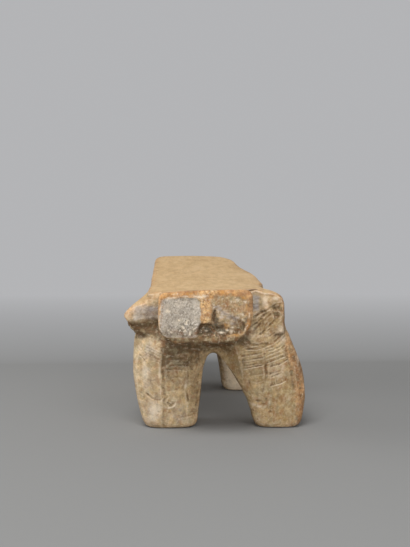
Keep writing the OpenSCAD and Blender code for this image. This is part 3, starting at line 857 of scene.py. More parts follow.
class Skin:
    """The finished skin: its places, its hollows and edges, and the parts of the sawn end."""

    def __init__(self, mesh):
        points = get_points(mesh)
        normals = get_normals(mesh)
        web = neighbours(mesh)
        near = relaxed(points, web, CRACK_PASSES)
        far = relaxed(near, web, HOLLOW_PASSES)
        self.cavity = np.clip(np.einsum("ij,ij->i", near - points, normals) / CRACK_DEEP, -1.0, 1.0)
        self.basin = np.clip(np.einsum("ij,ij->i", far - near, normals) / HOLLOW_DEEP, -1.0, 1.0)
        self.edges = np.clip(-0.9 * self.basin, 0.0, 1.0)

        self.points = points
        self.x, self.z = wavering(points, 1.3, 9.0, 21)
        self.y = points[:, 1]
        self.drawn = hand_drawn(points)
        self.right, self.ahead, self.up = (normals * (1.0, -1.0, 1.0)).T
        self.on_top = ramp(self.up, 0.45, 0.8) * ramp(self.z, 150.0, 163.0)
        self.front = ramp(self.y, -120.0, -140.0)
        self.outer_edge = np.interp(self.z, *OUTER_EDGE)
        past_edge = ramp(self.x, self.outer_edge - 1.5, self.outer_edge + 3.0)
        self.outer_flat = past_edge * band(self.z, 4.0, 112.0, 5.0) * self.front
        self.lug_nose = ramp(self.x, -98.0, -108.0) * ramp(self.z, 124.0, 132.0) * self.front * 0.52

        self.end_x, self.end_z, patch, facet, ridge, gouge, notch = end_face_shares(points)
        self.on_end = ramp(self.y, -207.0, -214.0) * ramp(self.ahead, 0.1, 0.5)
        whole = (1.0 - gouge) * (1.0 - notch)
        ridge = ridge * whole
        self.ridge = ridge * self.on_end
        self.patch = patch * (1.0 - ridge) * whole * self.on_end
        self.facet = facet * (1.0 - ridge) * whole * self.on_end
        self.torn = np.maximum(gouge, notch) * self.on_end
        self.bare = (1.0 - self.patch) * (1.0 - self.facet) * (1.0 - self.ridge) * (1.0 - self.torn)

    def broken(self, size, seed, start, end):
        """A noise between 0 and 1 that breaks up a mark."""
        return ramp(lattice_noise(self.points, size, seed), start, end)


def front_stains_and_shade(skin):
    """Dark places on the front that no hollow explains: painted shade under the grip, on faces turned down,
    under the lug and on the left leg's inner flat; a stain beside the groove; and darker along the groove,
    below the strokes and along the bottom of the sawn end.
    """
    x, z = skin.x, skin.z
    on_legs = ramp(skin.y, -140.0, -160.0)
    # Painted shade under the grip, on faces turned downwards and under the lug.
    shade_under_grip = window(x, z, (-64.0, 22.0, 7.0), (95.0, 122.0, 7.0))
    shade_under_grip = np.maximum(shade_under_grip, window(x, z, (20.0, 42.0, 6.0), (106.0, 122.0, 5.0))) * on_legs
    shade_under_side = ramp(-skin.up, 0.25, 0.9) * ramp(z, 95.0, 112.0) * ramp(skin.y, -150.0, -166.0)
    shade_under_lug = window(x, z, (-106.0, -68.0, 4.0), (116.0, 136.0, 4.0)) * ramp(skin.y, -130.0, -150.0)
    streaks = 0.7 + 0.5 * lattice_noise(skin.points * (1.0, 1.0, 0.3), 4.0, 30)
    right_of_groove = dome(x, -60.5, 7.0) * (band(z, 77.0, 114.0, 6.0) + 0.45 * band(z, 60.0, 77.0, 6.0))
    in_groove = scored(x, z, GROOVE_LINE, 2.2) * (0.15 + 0.35 * ramp(z, 10.0, 60.0))
    below_strokes = 0.9 * window(x, z, (-62.0, -28.0, 4.0), (79.0, 93.0, 5.0))
    stain = np.maximum.reduce([1.3 * right_of_groove, in_groove, below_strokes])
    brow = 0.95 * window(x, z, (-66.0, 36.0, 6.0), (108.0, 126.5, 3.0)) * skin.on_end * skin.bare
    # Painted shade on the left leg's inner flat beside the arch, with the stains.
    local = 0.35 * left_inner_flat(x, z) * streaks + 0.8 * stain
    return shade_under_grip + 0.75 * shade_under_side + 0.75 * shade_under_lug + local * skin.front + brow


def front_lines_and_shade(skin):
    """Dark lines and spots on the fronts: painted shadow above the strokes and beside the grip; darker
    along the creases, in the right shoulder's hollow and below its fibres; the dark fibres themselves, and
    dark spots.
    """
    x, z = skin.x, skin.z
    creases = [scored(*skin.drawn, line, 1.3) for line in CREASES]
    lines = 0.45 * np.maximum.reduce(creases) * skin.broken(7.0, 29, -0.6, 0.3)
    # Painted shadow above each stroke.
    for strokes in (RIGHT_STROKES, LEFT_STROKES):
        lines += 0.36 * stroke_lines(*skin.drawn, strokes, *SHADOW)
    lines += 0.50 * fibre_lines(*skin.drawn) * skin.broken(4.5, 27, -0.5, 0.6)
    lines += 0.22 * knob_hollow(skin.points)
    # Painted shade beside the grip, in the gap to the lug.
    beside_grip = window(x, z, (-78.0, -71.5, 2.0), (118.0, 150.0, 4.0)) * ramp(skin.y, -130.0, -150.0)
    below_fibres = window(x, z, (46.0, 84.0, 5.0), (116.0, 156.0, 7.0)) * ramp(z - 0.55 * x, 122.0, 112.0)
    lines += 0.6 * beside_grip + 0.22 * below_fibres
    return (lines + 0.55 * round_spots(x, z, DARK_SPOTS)) * skin.front


def dirt_and_shade_on(skin):
    """Dirt and painted shade: darker in hollows and cracks, painted shade under what overhangs and on the
    rear legs, and the sawn end darker towards the bottom.
    """
    x, y, z = skin.x, skin.y, skin.z
    # Darker in hollows and cracks: dirt and painted shade together.
    crevice_dirt_and_shade = 0.62 * np.maximum(skin.cavity, 0.0) + 0.5 * np.maximum(skin.basin, 0.0)
    dirt_and_shade = np.clip(crevice_dirt_and_shade, 0.0, 1.0) + front_stains_and_shade(skin) + front_lines_and_shade(skin)
    dirt_and_shade += 0.30 * skin.on_end * skin.bare * ramp(z, 174.0, 166.0) * ramp(x, 20.0, 28.0)
    streaks = ramp(lattice_noise(skin.points * (1.0, 1.0, 0.4), 4.5, 26), -0.2, 0.4)
    dirt_and_shade += 0.45 * skin.outer_flat * streaks
    turn = dome(x, skin.outer_edge, 1.6) * band(z, 50.0, 108.0, 6.0) * ramp(skin.right, 0.8, 0.5)
    dirt_and_shade += 0.6 * turn * skin.front
    # Painted shade on the rear legs: darker towards their tops and on faces turned to the left.
    rear_shade = ramp(z, 52.0, 88.0) + 0.8 * ramp(-skin.right, 0.1, 0.6)
    dirt_and_shade += 0.5 * rear_shade * band(y, 20.0, 130.0, 8.0) * ramp(z, 128.0, 112.0)
    cleaner = (1.0 - 0.75 * skin.on_top) * (1.0 - skin.patch) * (1.0 - 0.6 * skin.facet)
    low_end = ramp(z, 141.0, 129.0) * 0.60 * skin.patch + ramp(z, 149.0, 132.0) * 0.80 * skin.facet
    return np.clip(dirt_and_shade, 0.0, 1.0) * cleaner + low_end + 0.20 * skin.edges * skin.on_top


def brown_and_shade_on(skin):
    """Browner wood: the front legs' flats, the rear legs and the right shoulder; and painted shade on faces
    turned downwards and on the grip's lower part.
    """
    x, y, z = skin.x, skin.y, skin.z
    below_seat = ramp(z, 118.0, 108.0)
    right_leg = ramp(x, 2.0, 12.0) * ramp(z, 122.0, 108.0)
    middle_flat = band(x, -65.0, -10.0, 3.0) * below_seat * (1.0 - 0.40 * ramp(z, 45.0, 12.0))
    left_flat = ramp(x, -62.0, -68.0) * below_seat
    legs = np.maximum(0.85 * right_leg, 0.56 * middle_flat + 0.12 * left_flat) * skin.front
    # Painted shade on faces turned downwards and on the grip's lower part.
    under = 0.9 * ramp(-skin.up, 0.2, 0.8)
    behind = 0.10 * ramp(y, -110.0, -90.0)
    shade_below_grip = 0.95 * ramp(y, -175.0, -200.0) * ramp(z, 140.0, 124.0)
    right_shoulder = 0.95 * ramp(x, 40.0, 60.0) * ramp(z, 116.0, 124.0) * skin.front * (1.0 - skin.on_top)
    return np.maximum.reduce([legs, under, behind, shade_below_grip, right_shoulder])


def polish_on(skin):
    """Orange-brown where hands and floors have polished it: rims, edges, the legs' sides."""
    x, y, z = skin.x, skin.y, skin.z
    off_end = 1.0 - skin.on_end
    rim = np.maximum(skin.on_end * skin.bare, ramp(y, -210.0, -218.0) * off_end)
    rim = rim * (1.0 - 0.62 * ramp(z, 140.0, 124.0))
    right_outer = ramp(skin.right, 0.35, 0.75) * ramp(x, 62.0, 75.0) * ramp(y, -90.0, -120.0)
    sole_edge = dome(z, 3.0, 5.0) * (0.10 + 0.4 * ramp(x, 70.0, 100.0) * skin.front)
    seat_edge = 1.1 * skin.edges * ramp(z, 140.0, 160.0)
    grip_side = 0.6 * ramp(y, -168.0, -175.0) * off_end * (1.0 - skin.on_top)
    grip_top = 0.8 * skin.on_top * ramp(y, -196.0, -216.0)
    warm = 0.9 * rim + 0.25 * left_inner_flat(x, z) * skin.front + 0.7 * right_outer + sole_edge + seat_edge
    warm += grip_side + grip_top + 0.62 * skin.outer_flat + skin.lug_nose
    return np.clip(warm + 0.25 * skin.edges, 0.0, 1.0)


def slate_on(skin):
    """Blue-grey weathering on the lug's face, beside the grip on the right, and in spots on the legs."""
    x, y, z = skin.x, skin.y, skin.z
    lug_face = window(x, z, (-104.0, -70.0, 3.0), (139.0, 156.0, 3.0)) * ramp(y, -148.0, -158.0)
    lug_face = lug_face * (1.0 - ramp(x, -97.0, -106.0))
    beside = window(x, z, (43.0, 54.0, 1.6), (149.0, 169.0, 3.0)) * ramp(y, -150.0, -158.0)
    slate = np.clip(lug_face + beside, 0.0, 1.0) * ramp(y, -176.0, -171.0)
    return np.maximum(slate * (1.0 - skin.on_top), 0.48 * round_spots(x, z, LILAC_SPOTS) * skin.front)


def pale_and_highlights_on(skin):
    """Pale wood in chipped spots, and painted light: painted highlights on ridges, along the lips of the
    strokes and on the knot's lip, and painted light on the rear legs' fronts.
    """
    x, y, z = skin.x, skin.y, skin.z
    # Painted highlights along the lips of the strokes and of the knot.
    lip_highlights = stroke_lines(*skin.drawn, RIGHT_STROKES, *LIP)
    lip_highlights += 0.6 * stroke_lines(*skin.drawn, LEFT_STROKES, *LIP)
    lip_highlights = lip_highlights * (0.35 + 0.5 * skin.broken(6.0, 23, -0.4, 0.5))
    knot_highlight = scored(*skin.drawn, KNOT_LIP, 1.3)
    rubbed = 0.40 * window(x, z, (65.0, 86.0, 3.0), (64.0, 83.0, 3.0))
    on_front = np.maximum.reduce([lip_highlights, knot_highlight, rubbed, round_spots(x, z, PALE_SPOTS)]) * skin.front
    # Painted highlights on the ridges.
    pale = np.maximum(0.75 * np.clip(-skin.cavity, 0.0, 1.0), on_front)
    # Painted light on the rear legs' fronts.
    lit_rear_fronts = ramp(skin.ahead, 0.5, 0.9) * band(y, 20.0, 80.0, 8.0) * ramp(z, 130.0, 110.0)
    pale = np.maximum(pale * (1.0 - 0.5 * skin.lug_nose), lit_rear_fronts)
    seat_rim = ramp(z, 148.0, 158.0) * ramp(y, -150.0, -140.0)
    darker = (1.0 - skin.on_end) * (1.0 - 0.6 * skin.on_top) * (1.0 - 0.6 * seat_rim)
    return np.clip(pale, 0.0, 1.0) * darker


def wear_fields(mesh):
    """Every place's share of each finish and of painted light and shade, from its shape and from the
    photograph's landmarks.
    """
    skin = Skin(mesh)
    pitted = np.clip(1.25 * spot(skin.x, skin.z, -38.0, 134.0, 22.0, 13.0), 0.0, 1.0)
    # The flanks run along the log: there the grain shows lengthwise.
    flank = ramp(np.abs(skin.ahead), 0.72, 0.42) * (1.0 - 0.72 * skin.on_top) * (1.0 - skin.on_end)
    fields = {
        "flank": flank,
        "dirt_and_shade": dirt_and_shade_on(skin),
        "brown": brown_and_shade_on(skin),
        "warm": polish_on(skin),
        "slate": slate_on(skin),
        "pale": pale_and_highlights_on(skin),
        "top": skin.on_top,
        "grey_end": skin.patch,
        "pitted": pitted * skin.patch,
        "tan_end": skin.facet,
        "raw": skin.ridge,
        "torn": skin.torn,
    }
    broken_line = 0.30 + 0.60 * skin.broken(4.0, 28, -0.4, 0.4)
    for kind, spots in END_SPOTS.items():
        marks = round_spots(skin.end_x, skin.end_z, spots)
        for line, width in END_LINES.get(kind, ()):
            marks = np.maximum(marks, broken_line * scored(skin.end_x, skin.end_z, line, width))
        fields["end_" + kind] = marks * skin.on_end
    for name, values in fields.items():
        set_field(mesh, name, values)


# The cutting.


def prism(name, outline, low, high, axis):
    """A closed prism: the outline is given in the two axes left over, in order."""
    shape = bmesh.new()
    rings = []
    for level in (low, high):
        places = np.insert(np.array(outline, float), axis, level, axis=1) * MM
        rings.append([shape.verts.new(place) for place in places])
    count = len(outline)
    shape.faces.new(rings[0])
    shape.faces.new(rings[1])
    for index in range(count):
        after = (index + 1) % count
        shape.faces.new((rings[0][index], rings[0][after], rings[1][after], rings[1][index]))
    bmesh.ops.recalc_face_normals(shape, faces=shape.faces)
    return link(mesh_from(shape, name), name)


def rear_land():
    """Height of the rear legs' tops at y = 0, and its slope along the log, which the seat follows."""
    points = get_points(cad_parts["leg_rear_left"].data)
    low_y = points[:, 1].min()
    high_y = points[:, 1].max()
    at_front = points[points[:, 1] < low_y + 1.0][:, 2].max()
    at_back = points[points[:, 1] > high_y - 1.0][:, 2].max()
    slope = (at_back - at_front) / (high_y - low_y)
    return at_front - slope * low_y, slope


def cutters():
    """One cutter for each form but the seat, which is what they leave."""
    left = lug_high[0] - SEAM_CLEAR
    right = knob_low[0] + SEAM_CLEAR
    land = front_left_high[2] - SEAM_CLEAR
    grip_y = grip_high[1] - SEAM_CLEAR
    face_y = grip_high[1] + COVE_DEPTH
    leg_y = front_left_low[1] - SEAM_CLEAR
    shoulder_y = lug_high[1] + SEAM_CLEAR
    grip_left = (grip_low[0] + seat_low[0]) / 2.0
    grip_right = (grip_high[0] + knob_low[0]) / 2.0
    front_x = front_left_high[0]
    rear_x = rear_left_high[0]
    front_back = front_left_high[1] + ROOT_CLEAR
    rear_front = rear_left_low[1] - ROOT_CLEAR
    rear_back = rear_left_high[1] + ROOT_CLEAR
    base, slope = rear_land()
    rear_low = base + slope * rear_front - SEAM_CLEAR
    rear_high = base + slope * rear_back - SEAM_CLEAR

    grip_line = [(-FAR, -FAR), (leg_y, -FAR), (leg_y, land), (grip_y, land), (grip_y, FAR), (-FAR, FAR)]
    lug_line = [(-FAR, -FAR), (grip_left, -FAR), (grip_left, face_y), (left, face_y)]
    lug_line += [(left, shoulder_y), (-FAR, shoulder_y)]
    knob_line = [(FAR, -FAR), (grip_right, -FAR), (grip_right, face_y), (right, face_y)]
    knob_line += [(right, shoulder_y), (FAR, shoulder_y)]
    front_line = [(-FAR, -FAR), (front_back, -FAR), (front_back, land), (-FAR, land)]
    rear_line = [(rear_front, -FAR), (rear_back, -FAR), (rear_back, rear_high), (rear_front, rear_low)]
    return [
        ("grip", prism("cut_grip", grip_line, grip_left, grip_right, 0)),
        ("shoulder_left", prism("cut_lug", lug_line, land, FAR, 2)),
        ("shoulder_right", prism("cut_knob", knob_line, land, FAR, 2)),
        ("leg_front_left", prism("cut_front_left", front_line, -FAR, front_x, 0)),
        ("leg_front_right", prism("cut_front_right", front_line, front_x, FAR, 0)),
        ("leg_rear_left", prism("cut_rear_left", rear_line, -FAR, rear_x, 0)),
        ("leg_rear_right", prism("cut_rear_right", rear_line, rear_x, FAR, 0)),
    ]


def cut(mesh, cutter, operation):
    """The part of a mesh inside a cutter, or the part outside it."""
    rest = link(mesh, "log_rest")
    knife = rest.modifiers.new("knife", "BOOLEAN")
    knife.operation = operation
    knife.object = cutter
    knife.solver = "MANIFOLD"
    return evaluated_mesh(rest)


def keep_normals(mesh):
    """Note the uncut skin's normals, so that shading runs on over the seams."""
    note = mesh.attributes.new("skin_normal", "FLOAT_VECTOR", "POINT")
    note.data.foreach_set("vector", get_normals(mesh).astype(np.float32).ravel())


def drop_scraps(mesh):
    """Take out scraps without thickness that a cut leaves on a seam: two faces on the same points."""
    form = bmesh.new()
    form.from_mesh(mesh)
    same = {}
    for face in form.faces:
        corners = tuple(sorted(corner.index for corner in face.verts))
        same.setdefault(corners, []).append(face)
    scraps = [face for faces in same.values() if len(faces) > 1 for face in faces]
    if scraps:
        bmesh.ops.delete(form, geom=scraps, context="FACES")
        form.to_mesh(mesh)
    form.free()


def fill_seams(mesh):
    """Give the points that a cut added the normal and the wear of the skin beside them."""
    note = mesh.attributes["skin_normal"]
    layers = [layer for layer in mesh.attributes if (layer.domain, layer.data_type) == ("POINT", "FLOAT")]
    columns = [read_rows(layer.data, "value", 1) for layer in layers]
    known = np.hstack([read_rows(note.data, "vector"), *columns])
    one, other = edge_ends(mesh).T
    for _ in range(2):
        is_known = np.linalg.norm(known[:, :3], axis=1) > 0.5
        total = np.zeros_like(known)
        shares = np.zeros((len(known), 1))
        for here, there in ((one, other), (other, one)):
            use = ~is_known[here] & is_known[there]
            np.add.at(total, here[use], known[there[use]])
            np.add.at(shares, here[use], 1.0)
        filled = shares[:, 0] > 0.0
        known[filled] = total[filled] / shares[filled]
    note.data.foreach_set("vector", known[:, :3].ravel())
    for column, layer in enumerate(layers, start=3):
        layer.data.foreach_set("value", known[:, column].copy())


def shade_as_uncut(mesh):
    """Give a cut piece the skin's normals, but flat ones on its cut faces."""
    corner_vertex = read_rows(mesh.loops, "vertex_index", 1, np.int32)[:, 0]
    noted = read_rows(mesh.attributes["skin_normal"].data, "vector")[corner_vertex]
    corners = read_rows(mesh.polygons, "loop_total", 1, np.int32)[:, 0]
    smooth = np.repeat(read_rows(mesh.polygons, "use_smooth", 1, bool), corners, axis=0)
    flat = np.repeat(read_rows(mesh.polygons, "normal"), corners, axis=0)
    wanted = np.where(smooth, noted, flat)
    lengths = np.linalg.norm(wanted, axis=1, keepdims=True)
    wanted = np.where(lengths > 0.5, wanted / np.maximum(lengths, 1e-6), flat)
    mesh.normals_split_custom_set(wanted)
    mesh.attributes.remove(mesh.attributes["skin_normal"])


def parted(skin):
    """The log as eight closed pieces, face to face along the CAD's seams."""
    forms = {}
    skin.shade_smooth()
    keep_normals(skin)
    rest = skin
    for name, cutter in cutters():
        forms[name] = cut(rest, cutter, "INTERSECT")
        rest = cut(rest, cutter, "DIFFERENCE")
        bpy.data.objects.remove(cutter)
    forms["seat"] = rest
    for mesh in forms.values():
        drop_scraps(mesh)
        fill_seams(mesh)
        shade_as_uncut(mesh)
    return forms


# The materials.

WOOD = {
    "leg_light": (0.80, 0.615, 0.390),
    "leg_dark": (0.35, 0.230, 0.115),
    "seat_light": (0.600, 0.412, 0.212),
    "seat_dark": (0.46, 0.300, 0.145),
    "warm_light": (0.70, 0.405, 0.185),
    "warm_dark": (0.30, 0.135, 0.045),
    "slate_light": (0.47, 0.415, 0.385),
    "slate_dark": (0.20, 0.165, 0.145),
    "grey_light": (0.60, 0.52, 0.425),
    "grey_dark": (0.20, 0.165, 0.130),
    "tan_light": (0.60, 0.435, 0.250),
    "tan_dark": (0.30, 0.180, 0.085),
    "raw_light": (0.86, 0.56, 0.270),
    "raw_dark": (0.46, 0.225, 0.075),
    "torn_light": (0.150, 0.092, 0.044),
    "torn_dark": (0.040, 0.025, 0.013),
    "chalk": (0.84, 0.76, 0.66),
    "straw": (0.82, 0.70, 0.53),
    "cream": (0.90, 0.76, 0.58),
    "rust": (0.33, 0.145, 0.060),
    "amber": (0.60, 0.290, 0.070),
    "lilac": (0.72, 0.620, 0.550),
    "moss": (0.115, 0.100, 0.068),
    "olive": (0.30, 0.255, 0.150),
    # The colour of the dark coat, for dirt and painted shade alike.
    "dirt_and_shade": (0.098, 0.056, 0.024),
}
WARM_TINT = (1.08, 0.985, 0.83)
COOL_TINT = (0.945, 1.0, 1.08)
OLIVE_TINT = (0.97, 1.0, 0.92)
BROWN_TINT = (1.0, 1.0, 0.90)
PLAIN = (0.5, 0.5, 0.5)     # an unset colour of a group
RING_GAP = 0.0029           # from one growth ring to the next


def ring_lines(nodes, vector):
    """Growth rings round the pith of the trunk, from 0 to 1."""
    centred = nodes.vector("ADD", vector, (-PITH[0] * MM, 0.0, -PITH[1] * MM))
    across = nodes.length(nodes.vector("DIVIDE", centred, (1.0, 50.0, 1.0)))
    away = nodes.plus(across, nodes.lumps(vector, (0.030, 0.120, 0.030), 2.0), 0.009)
    return nodes.remap(nodes.math("SINE", nodes.times(away, math.tau / RING_GAP)), -1.0, 1.0)


def aged_wood_group():
    """The wood itself: blotches, long fibres along the log, rings across it and dark veins."""
    inputs = (
        ("Vector", "Vector", None),
        ("Light", "Color", WOOD["leg_light"]),
        ("Dark", "Color", WOOD["leg_dark"]),
        ("Shade", "Float", 0.0),
        ("Contrast", "Float", 1.0),
        ("Flank", "Float", 0.0),
        ("Tinge", "Float", 1.0),
    )
    outputs = {"Color": "Color", "Fibre": "Float", "Rings": "Float", "Blotch": "Float", "Checks": "Float"}
    nodes, given, result = blank_group("Aged wood", "ShaderNodeTree", inputs, outputs.items())
    vector = given["Vector"]
    blotch = nodes.lumps(vector, (0.030, 0.055, 0.030), 5.0, 0.68, 0.5)
    aside = nodes.vector("ADD", vector, (0.31, 0.12, 0.07))
    mottle = nodes.lumps(aside, (0.0085, 0.015, 0.0075), 3.0, 0.6)
    drip = nodes.lumps(aside, (0.0070, 0.0300, 0.0500), 2.0, 0.5)
    fibre = nodes.lumps(vector, (0.0015, 0.028, 0.0015), 3.0, 0.6)
    streak = nodes.lumps(vector, (0.0060, 0.150, 0.0060), 3.0, 0.6, 0.3)
    ring = ring_lines(nodes, vector)
    askew = nodes.vector("ADD", vector, (0.05, 0.4, 0.21))
    vein = nodes.crease(nodes.lumps(askew, (0.014, 0.050, 0.010), 3.0, 0.6), 0.016)

    # Along the log, the grain shows as long lines, and as dark checks where it dried and split.
    line = nodes.lumps(vector, (0.0021, 0.095, 0.0021), 4.0, 0.62, 0.1)
    line = nodes.times(nodes.remap(line, 0.36, 0.64, -0.5, 0.5), given["Flank"])
    apart = nodes.vector("ADD", vector, (0.2, 0.7, 0.1))
    check = nodes.crease(nodes.lumps(apart, (0.0085, 0.160, 0.0085), 2.5), 0.010)
    check = nodes.times(nodes.times(check, nodes.remap(blotch, 0.44, 0.56)), given["Flank"])

    tone = nodes.times(nodes.remap(blotch, 0.34, 0.66), 0.58)
    tone = nodes.plus(tone, nodes.remap(mottle, 0.36, 0.64), 0.44)
    tone = nodes.plus(tone, nodes.remap(streak, 0.3, 0.7), 0.22)
    tone = nodes.plus(tone, ring, 0.04)
    tone = nodes.plus(tone, nodes.remap(fibre, 0.3, 0.7), 0.10)
    tone = nodes.plus(tone, nodes.remap(drip, 0.32, 0.68), 0.20)
    tone = nodes.times(nodes.math("SUBTRACT", tone, 0.78), given["Contrast"])
    tone = nodes.math("ADD", tone, nodes.math("ADD", given["Shade"], 0.28))
    tone = nodes.plus(tone, vein, 0.28)
    tone = nodes.plus(tone, line, 0.42)
    tone = nodes.plus(tone, check, 0.75)
    shade = nodes.mix(nodes.remap(tone, 0.0, 1.0), given["Light"], given["Dark"])

    # Its colour wanders between warm and cool by itself, whether the wood is dark there or light.
    elsewhere = nodes.vector("ADD", vector, (0.6, 0.2, 0.5))
    hue = nodes.remap(nodes.lumps(elsewhere, (0.0105, 0.022, 0.0105), 4.0, 0.66), 0.34, 0.66)
    mossy = nodes.remap(nodes.lumps(askew, (0.0085, 0.020, 0.0085), 3.0, 0.6), 0.50, 0.66)
    tint = nodes.mix(mossy, nodes.mix(hue, COOL_TINT, WARM_TINT), OLIVE_TINT, "MULTIPLY")
    shade = nodes.mix(given["Tinge"], shade, tint, "MULTIPLY")
    for name, value in zip(outputs, (shade, fibre, ring, blotch, check)):
        nodes.join(value, result[name])
    return nodes.tree


def coat_group():
    """One finish laid over another where a mask says, with a broken edge."""
    inputs = (
        ("Vector", "Vector", None),
        ("Under", "Color", PLAIN),
        ("Over", "Color", PLAIN),
        ("Mask", "Float", 0.0),
        ("Speck Size", "Float", 0.004),
        ("Break", "Float", 0.6),
        ("Cover", "Float", 1.0),
    )
    outputs = (("Color", "Color"), ("Coat", "Float"))
    nodes, given, result = blank_group("Worn coat", "ShaderNodeTree", inputs, outputs)
    scaled = nodes.scale(given["Vector"], nodes.math("DIVIDE", 1.0, given["Speck Size"]))
    specks = nodes.remap(nodes.noise(scaled, 4.0, 0.65), 0.28, 0.72, -1.0, 1.0)
    # The break counts most where the mask is half way.
    half = nodes.times(given["Mask"], nodes.math("SUBTRACT", 1.0, given["Mask"]))
    broken = nodes.times(nodes.times(specks, given["Break"]), nodes.times(half, 4.0))
    share = nodes.plus(given["Mask"], broken, 0.5)
    share = nodes.times(nodes.remap(share, 0.0, 1.0), given["Cover"])
    nodes.join(nodes.mix(share, given["Under"], given["Over"]), result["Color"])
    nodes.join(share, result["Coat"])
    return nodes.tree


def speckle_group():
    """Fine pale and dark specks, as end grain and torn wood show."""
    inputs = (
        ("Vector", "Vector", None),
        ("Base", "Color", PLAIN),
        ("Pale", "Color", WOOD["straw"]),
        ("Dark", "Color", WOOD["grey_dark"]),
        ("Size", "Vector", (0.0015, 0.0030, 0.0015)),
        ("Pale Share", "Float", 0.4),
        ("Dark Share", "Float", 0.4),
    )
    outputs = (("Color", "Color"), ("Height", "Float"))
    nodes, given, result = blank_group("Speckle", "ShaderNodeTree", inputs, outputs)
    scaled = nodes.vector("DIVIDE", given["Vector"], given["Size"])
    fine = nodes.noise(scaled, 3.0, 0.7)
    coarse = nodes.noise(nodes.vector("ADD", scaled, (17.3, 5.1, 9.7)), 2.0, 0.5)
    dark = nodes.times(nodes.remap(fine, 0.50, 0.37), given["Dark Share"])
    pale = nodes.times(nodes.remap(coarse, 0.54, 0.66), given["Pale Share"])
    shade = nodes.mix(dark, given["Base"], given["Dark"])
    nodes.join(nodes.mix(pale, shade, given["Pale"]), result["Color"])
    nodes.join(fine, result["Height"])
    return nodes.tree


def fleck_group():
    """Soft-edged patches of another colour, scattered by a noise."""
    inputs = (
        ("Vector", "Vector", None),
        ("Under", "Color", PLAIN),
        ("Over", "Color", PLAIN),
        ("Size", "Vector", (0.005, 0.005, 0.005)),
        ("Shift", "Vector", (0.0, 0.0, 0.0)),
        ("Start", "Float", 0.5),
        ("Full", "Float", 0.65),
        ("Cover", "Float", 0.5),
    )
    nodes, given, result = blank_group("Flecks", "ShaderNodeTree", inputs, [("Color", "Color")])
    scaled = nodes.vector("DIVIDE", given["Vector"], given["Size"])
    patches = nodes.noise(nodes.vector("ADD", scaled, given["Shift"]), 2.5)
    share = nodes.times(nodes.remap(patches, given["Start"], given["Full"]), given["Cover"])
    nodes.join(nodes.mix(share, given["Under"], given["Over"]), result["Color"])
    return nodes.tree


aged_wood = aged_wood_group()
worn_coat = coat_group()
speckle = speckle_group()
flecks = fleck_group()

# Patches of other colours: colour, size, place in the noise, start, full, cover.
WEATHERED = (
    ("rust", (0.0070, 0.020, 0.0090), (3.0, 1.0, 7.0), 0.52, 0.64, 0.50),
    ("olive", (0.0090, 0.020, 0.0110), (11.0, 5.0, 2.0), 0.52, 0.66, 0.45),
    ("straw", (0.0045, 0.012, 0.0060), (5.0, 9.0, 4.0), 0.60, 0.74, 0.36),
)
WORN_THROUGH = (
    ("rust", (0.0080, 0.020, 0.0050), (1.0, 8.0, 5.0), 0.48, 0.62, 0.40),
    ("olive", (0.0050, 0.020, 0.0050), (7.0, 2.0, 8.0), 0.50, 0.62, 0.60),
    ("straw", (0.0045, 0.012, 0.0034), (2.0, 6.0, 1.0), 0.56, 0.68, 0.35),
)
SPLIT_GRAIN = (
    ("olive", (0.0044, 0.010, 0.0062), (8.0, 3.0, 6.0), 0.48, 0.62, 0.60),
    ("rust", (0.0022, 0.010, 0.0070), (2.0, 4.0, 1.0), 0.50, 0.62, 0.35),
    ("cream", (0.0030, 0.010, 0.0050), (6.0, 7.0, 9.0), 0.58, 0.70, 0.45),
)
POLISHED = (
    ("rust", (0.0060, 0.020, 0.0060), (4.0, 2.0, 3.0), 0.48, 0.60, 0.65),
    ("olive", (0.0070, 0.020, 0.0070), (6.0, 8.0, 1.0), 0.52, 0.64, 0.50),
    ("cream", (0.0040, 0.012, 0.0030), (9.0, 6.0, 5.0), 0.60, 0.72, 0.40),
)
TORN_WOOD = (
    ("rust", (0.0050, 0.020, 0.0040), (3.0, 1.0, 7.0), 0.50, 0.60, 0.60),
    ("moss", (0.0050, 0.020, 0.0050), (8.0, 5.0, 2.0), 0.52, 0.62, 0.60),
    ("amber", (0.0030, 0.012, 0.0026), (5.0, 9.0, 4.0), 0.57, 0.66, 0.70),
)
# Sizes of specks, in metres.
WORN_SPECK = (0.0026, 0.0070, 0.0032)
RUBBED_SPECK = (0.0048, 0.0160, 0.0048)
SLATE_SPECK = (0.0060, 0.0060, 0.0030)
PEPPER = (0.0021, 0.0060, 0.0025)
TORN_FIBRE = (0.0022, 0.0060, 0.0022)
# The shader's own numbers, the same for all the wood.
ROUGHNESS = (0.64, 0.86)
SPECULAR = 0.30
BUMP_STRENGTH = 0.5
BUMP_DEPTH = 0.0012
DIRT_AND_SHADE_COVER = 0.85


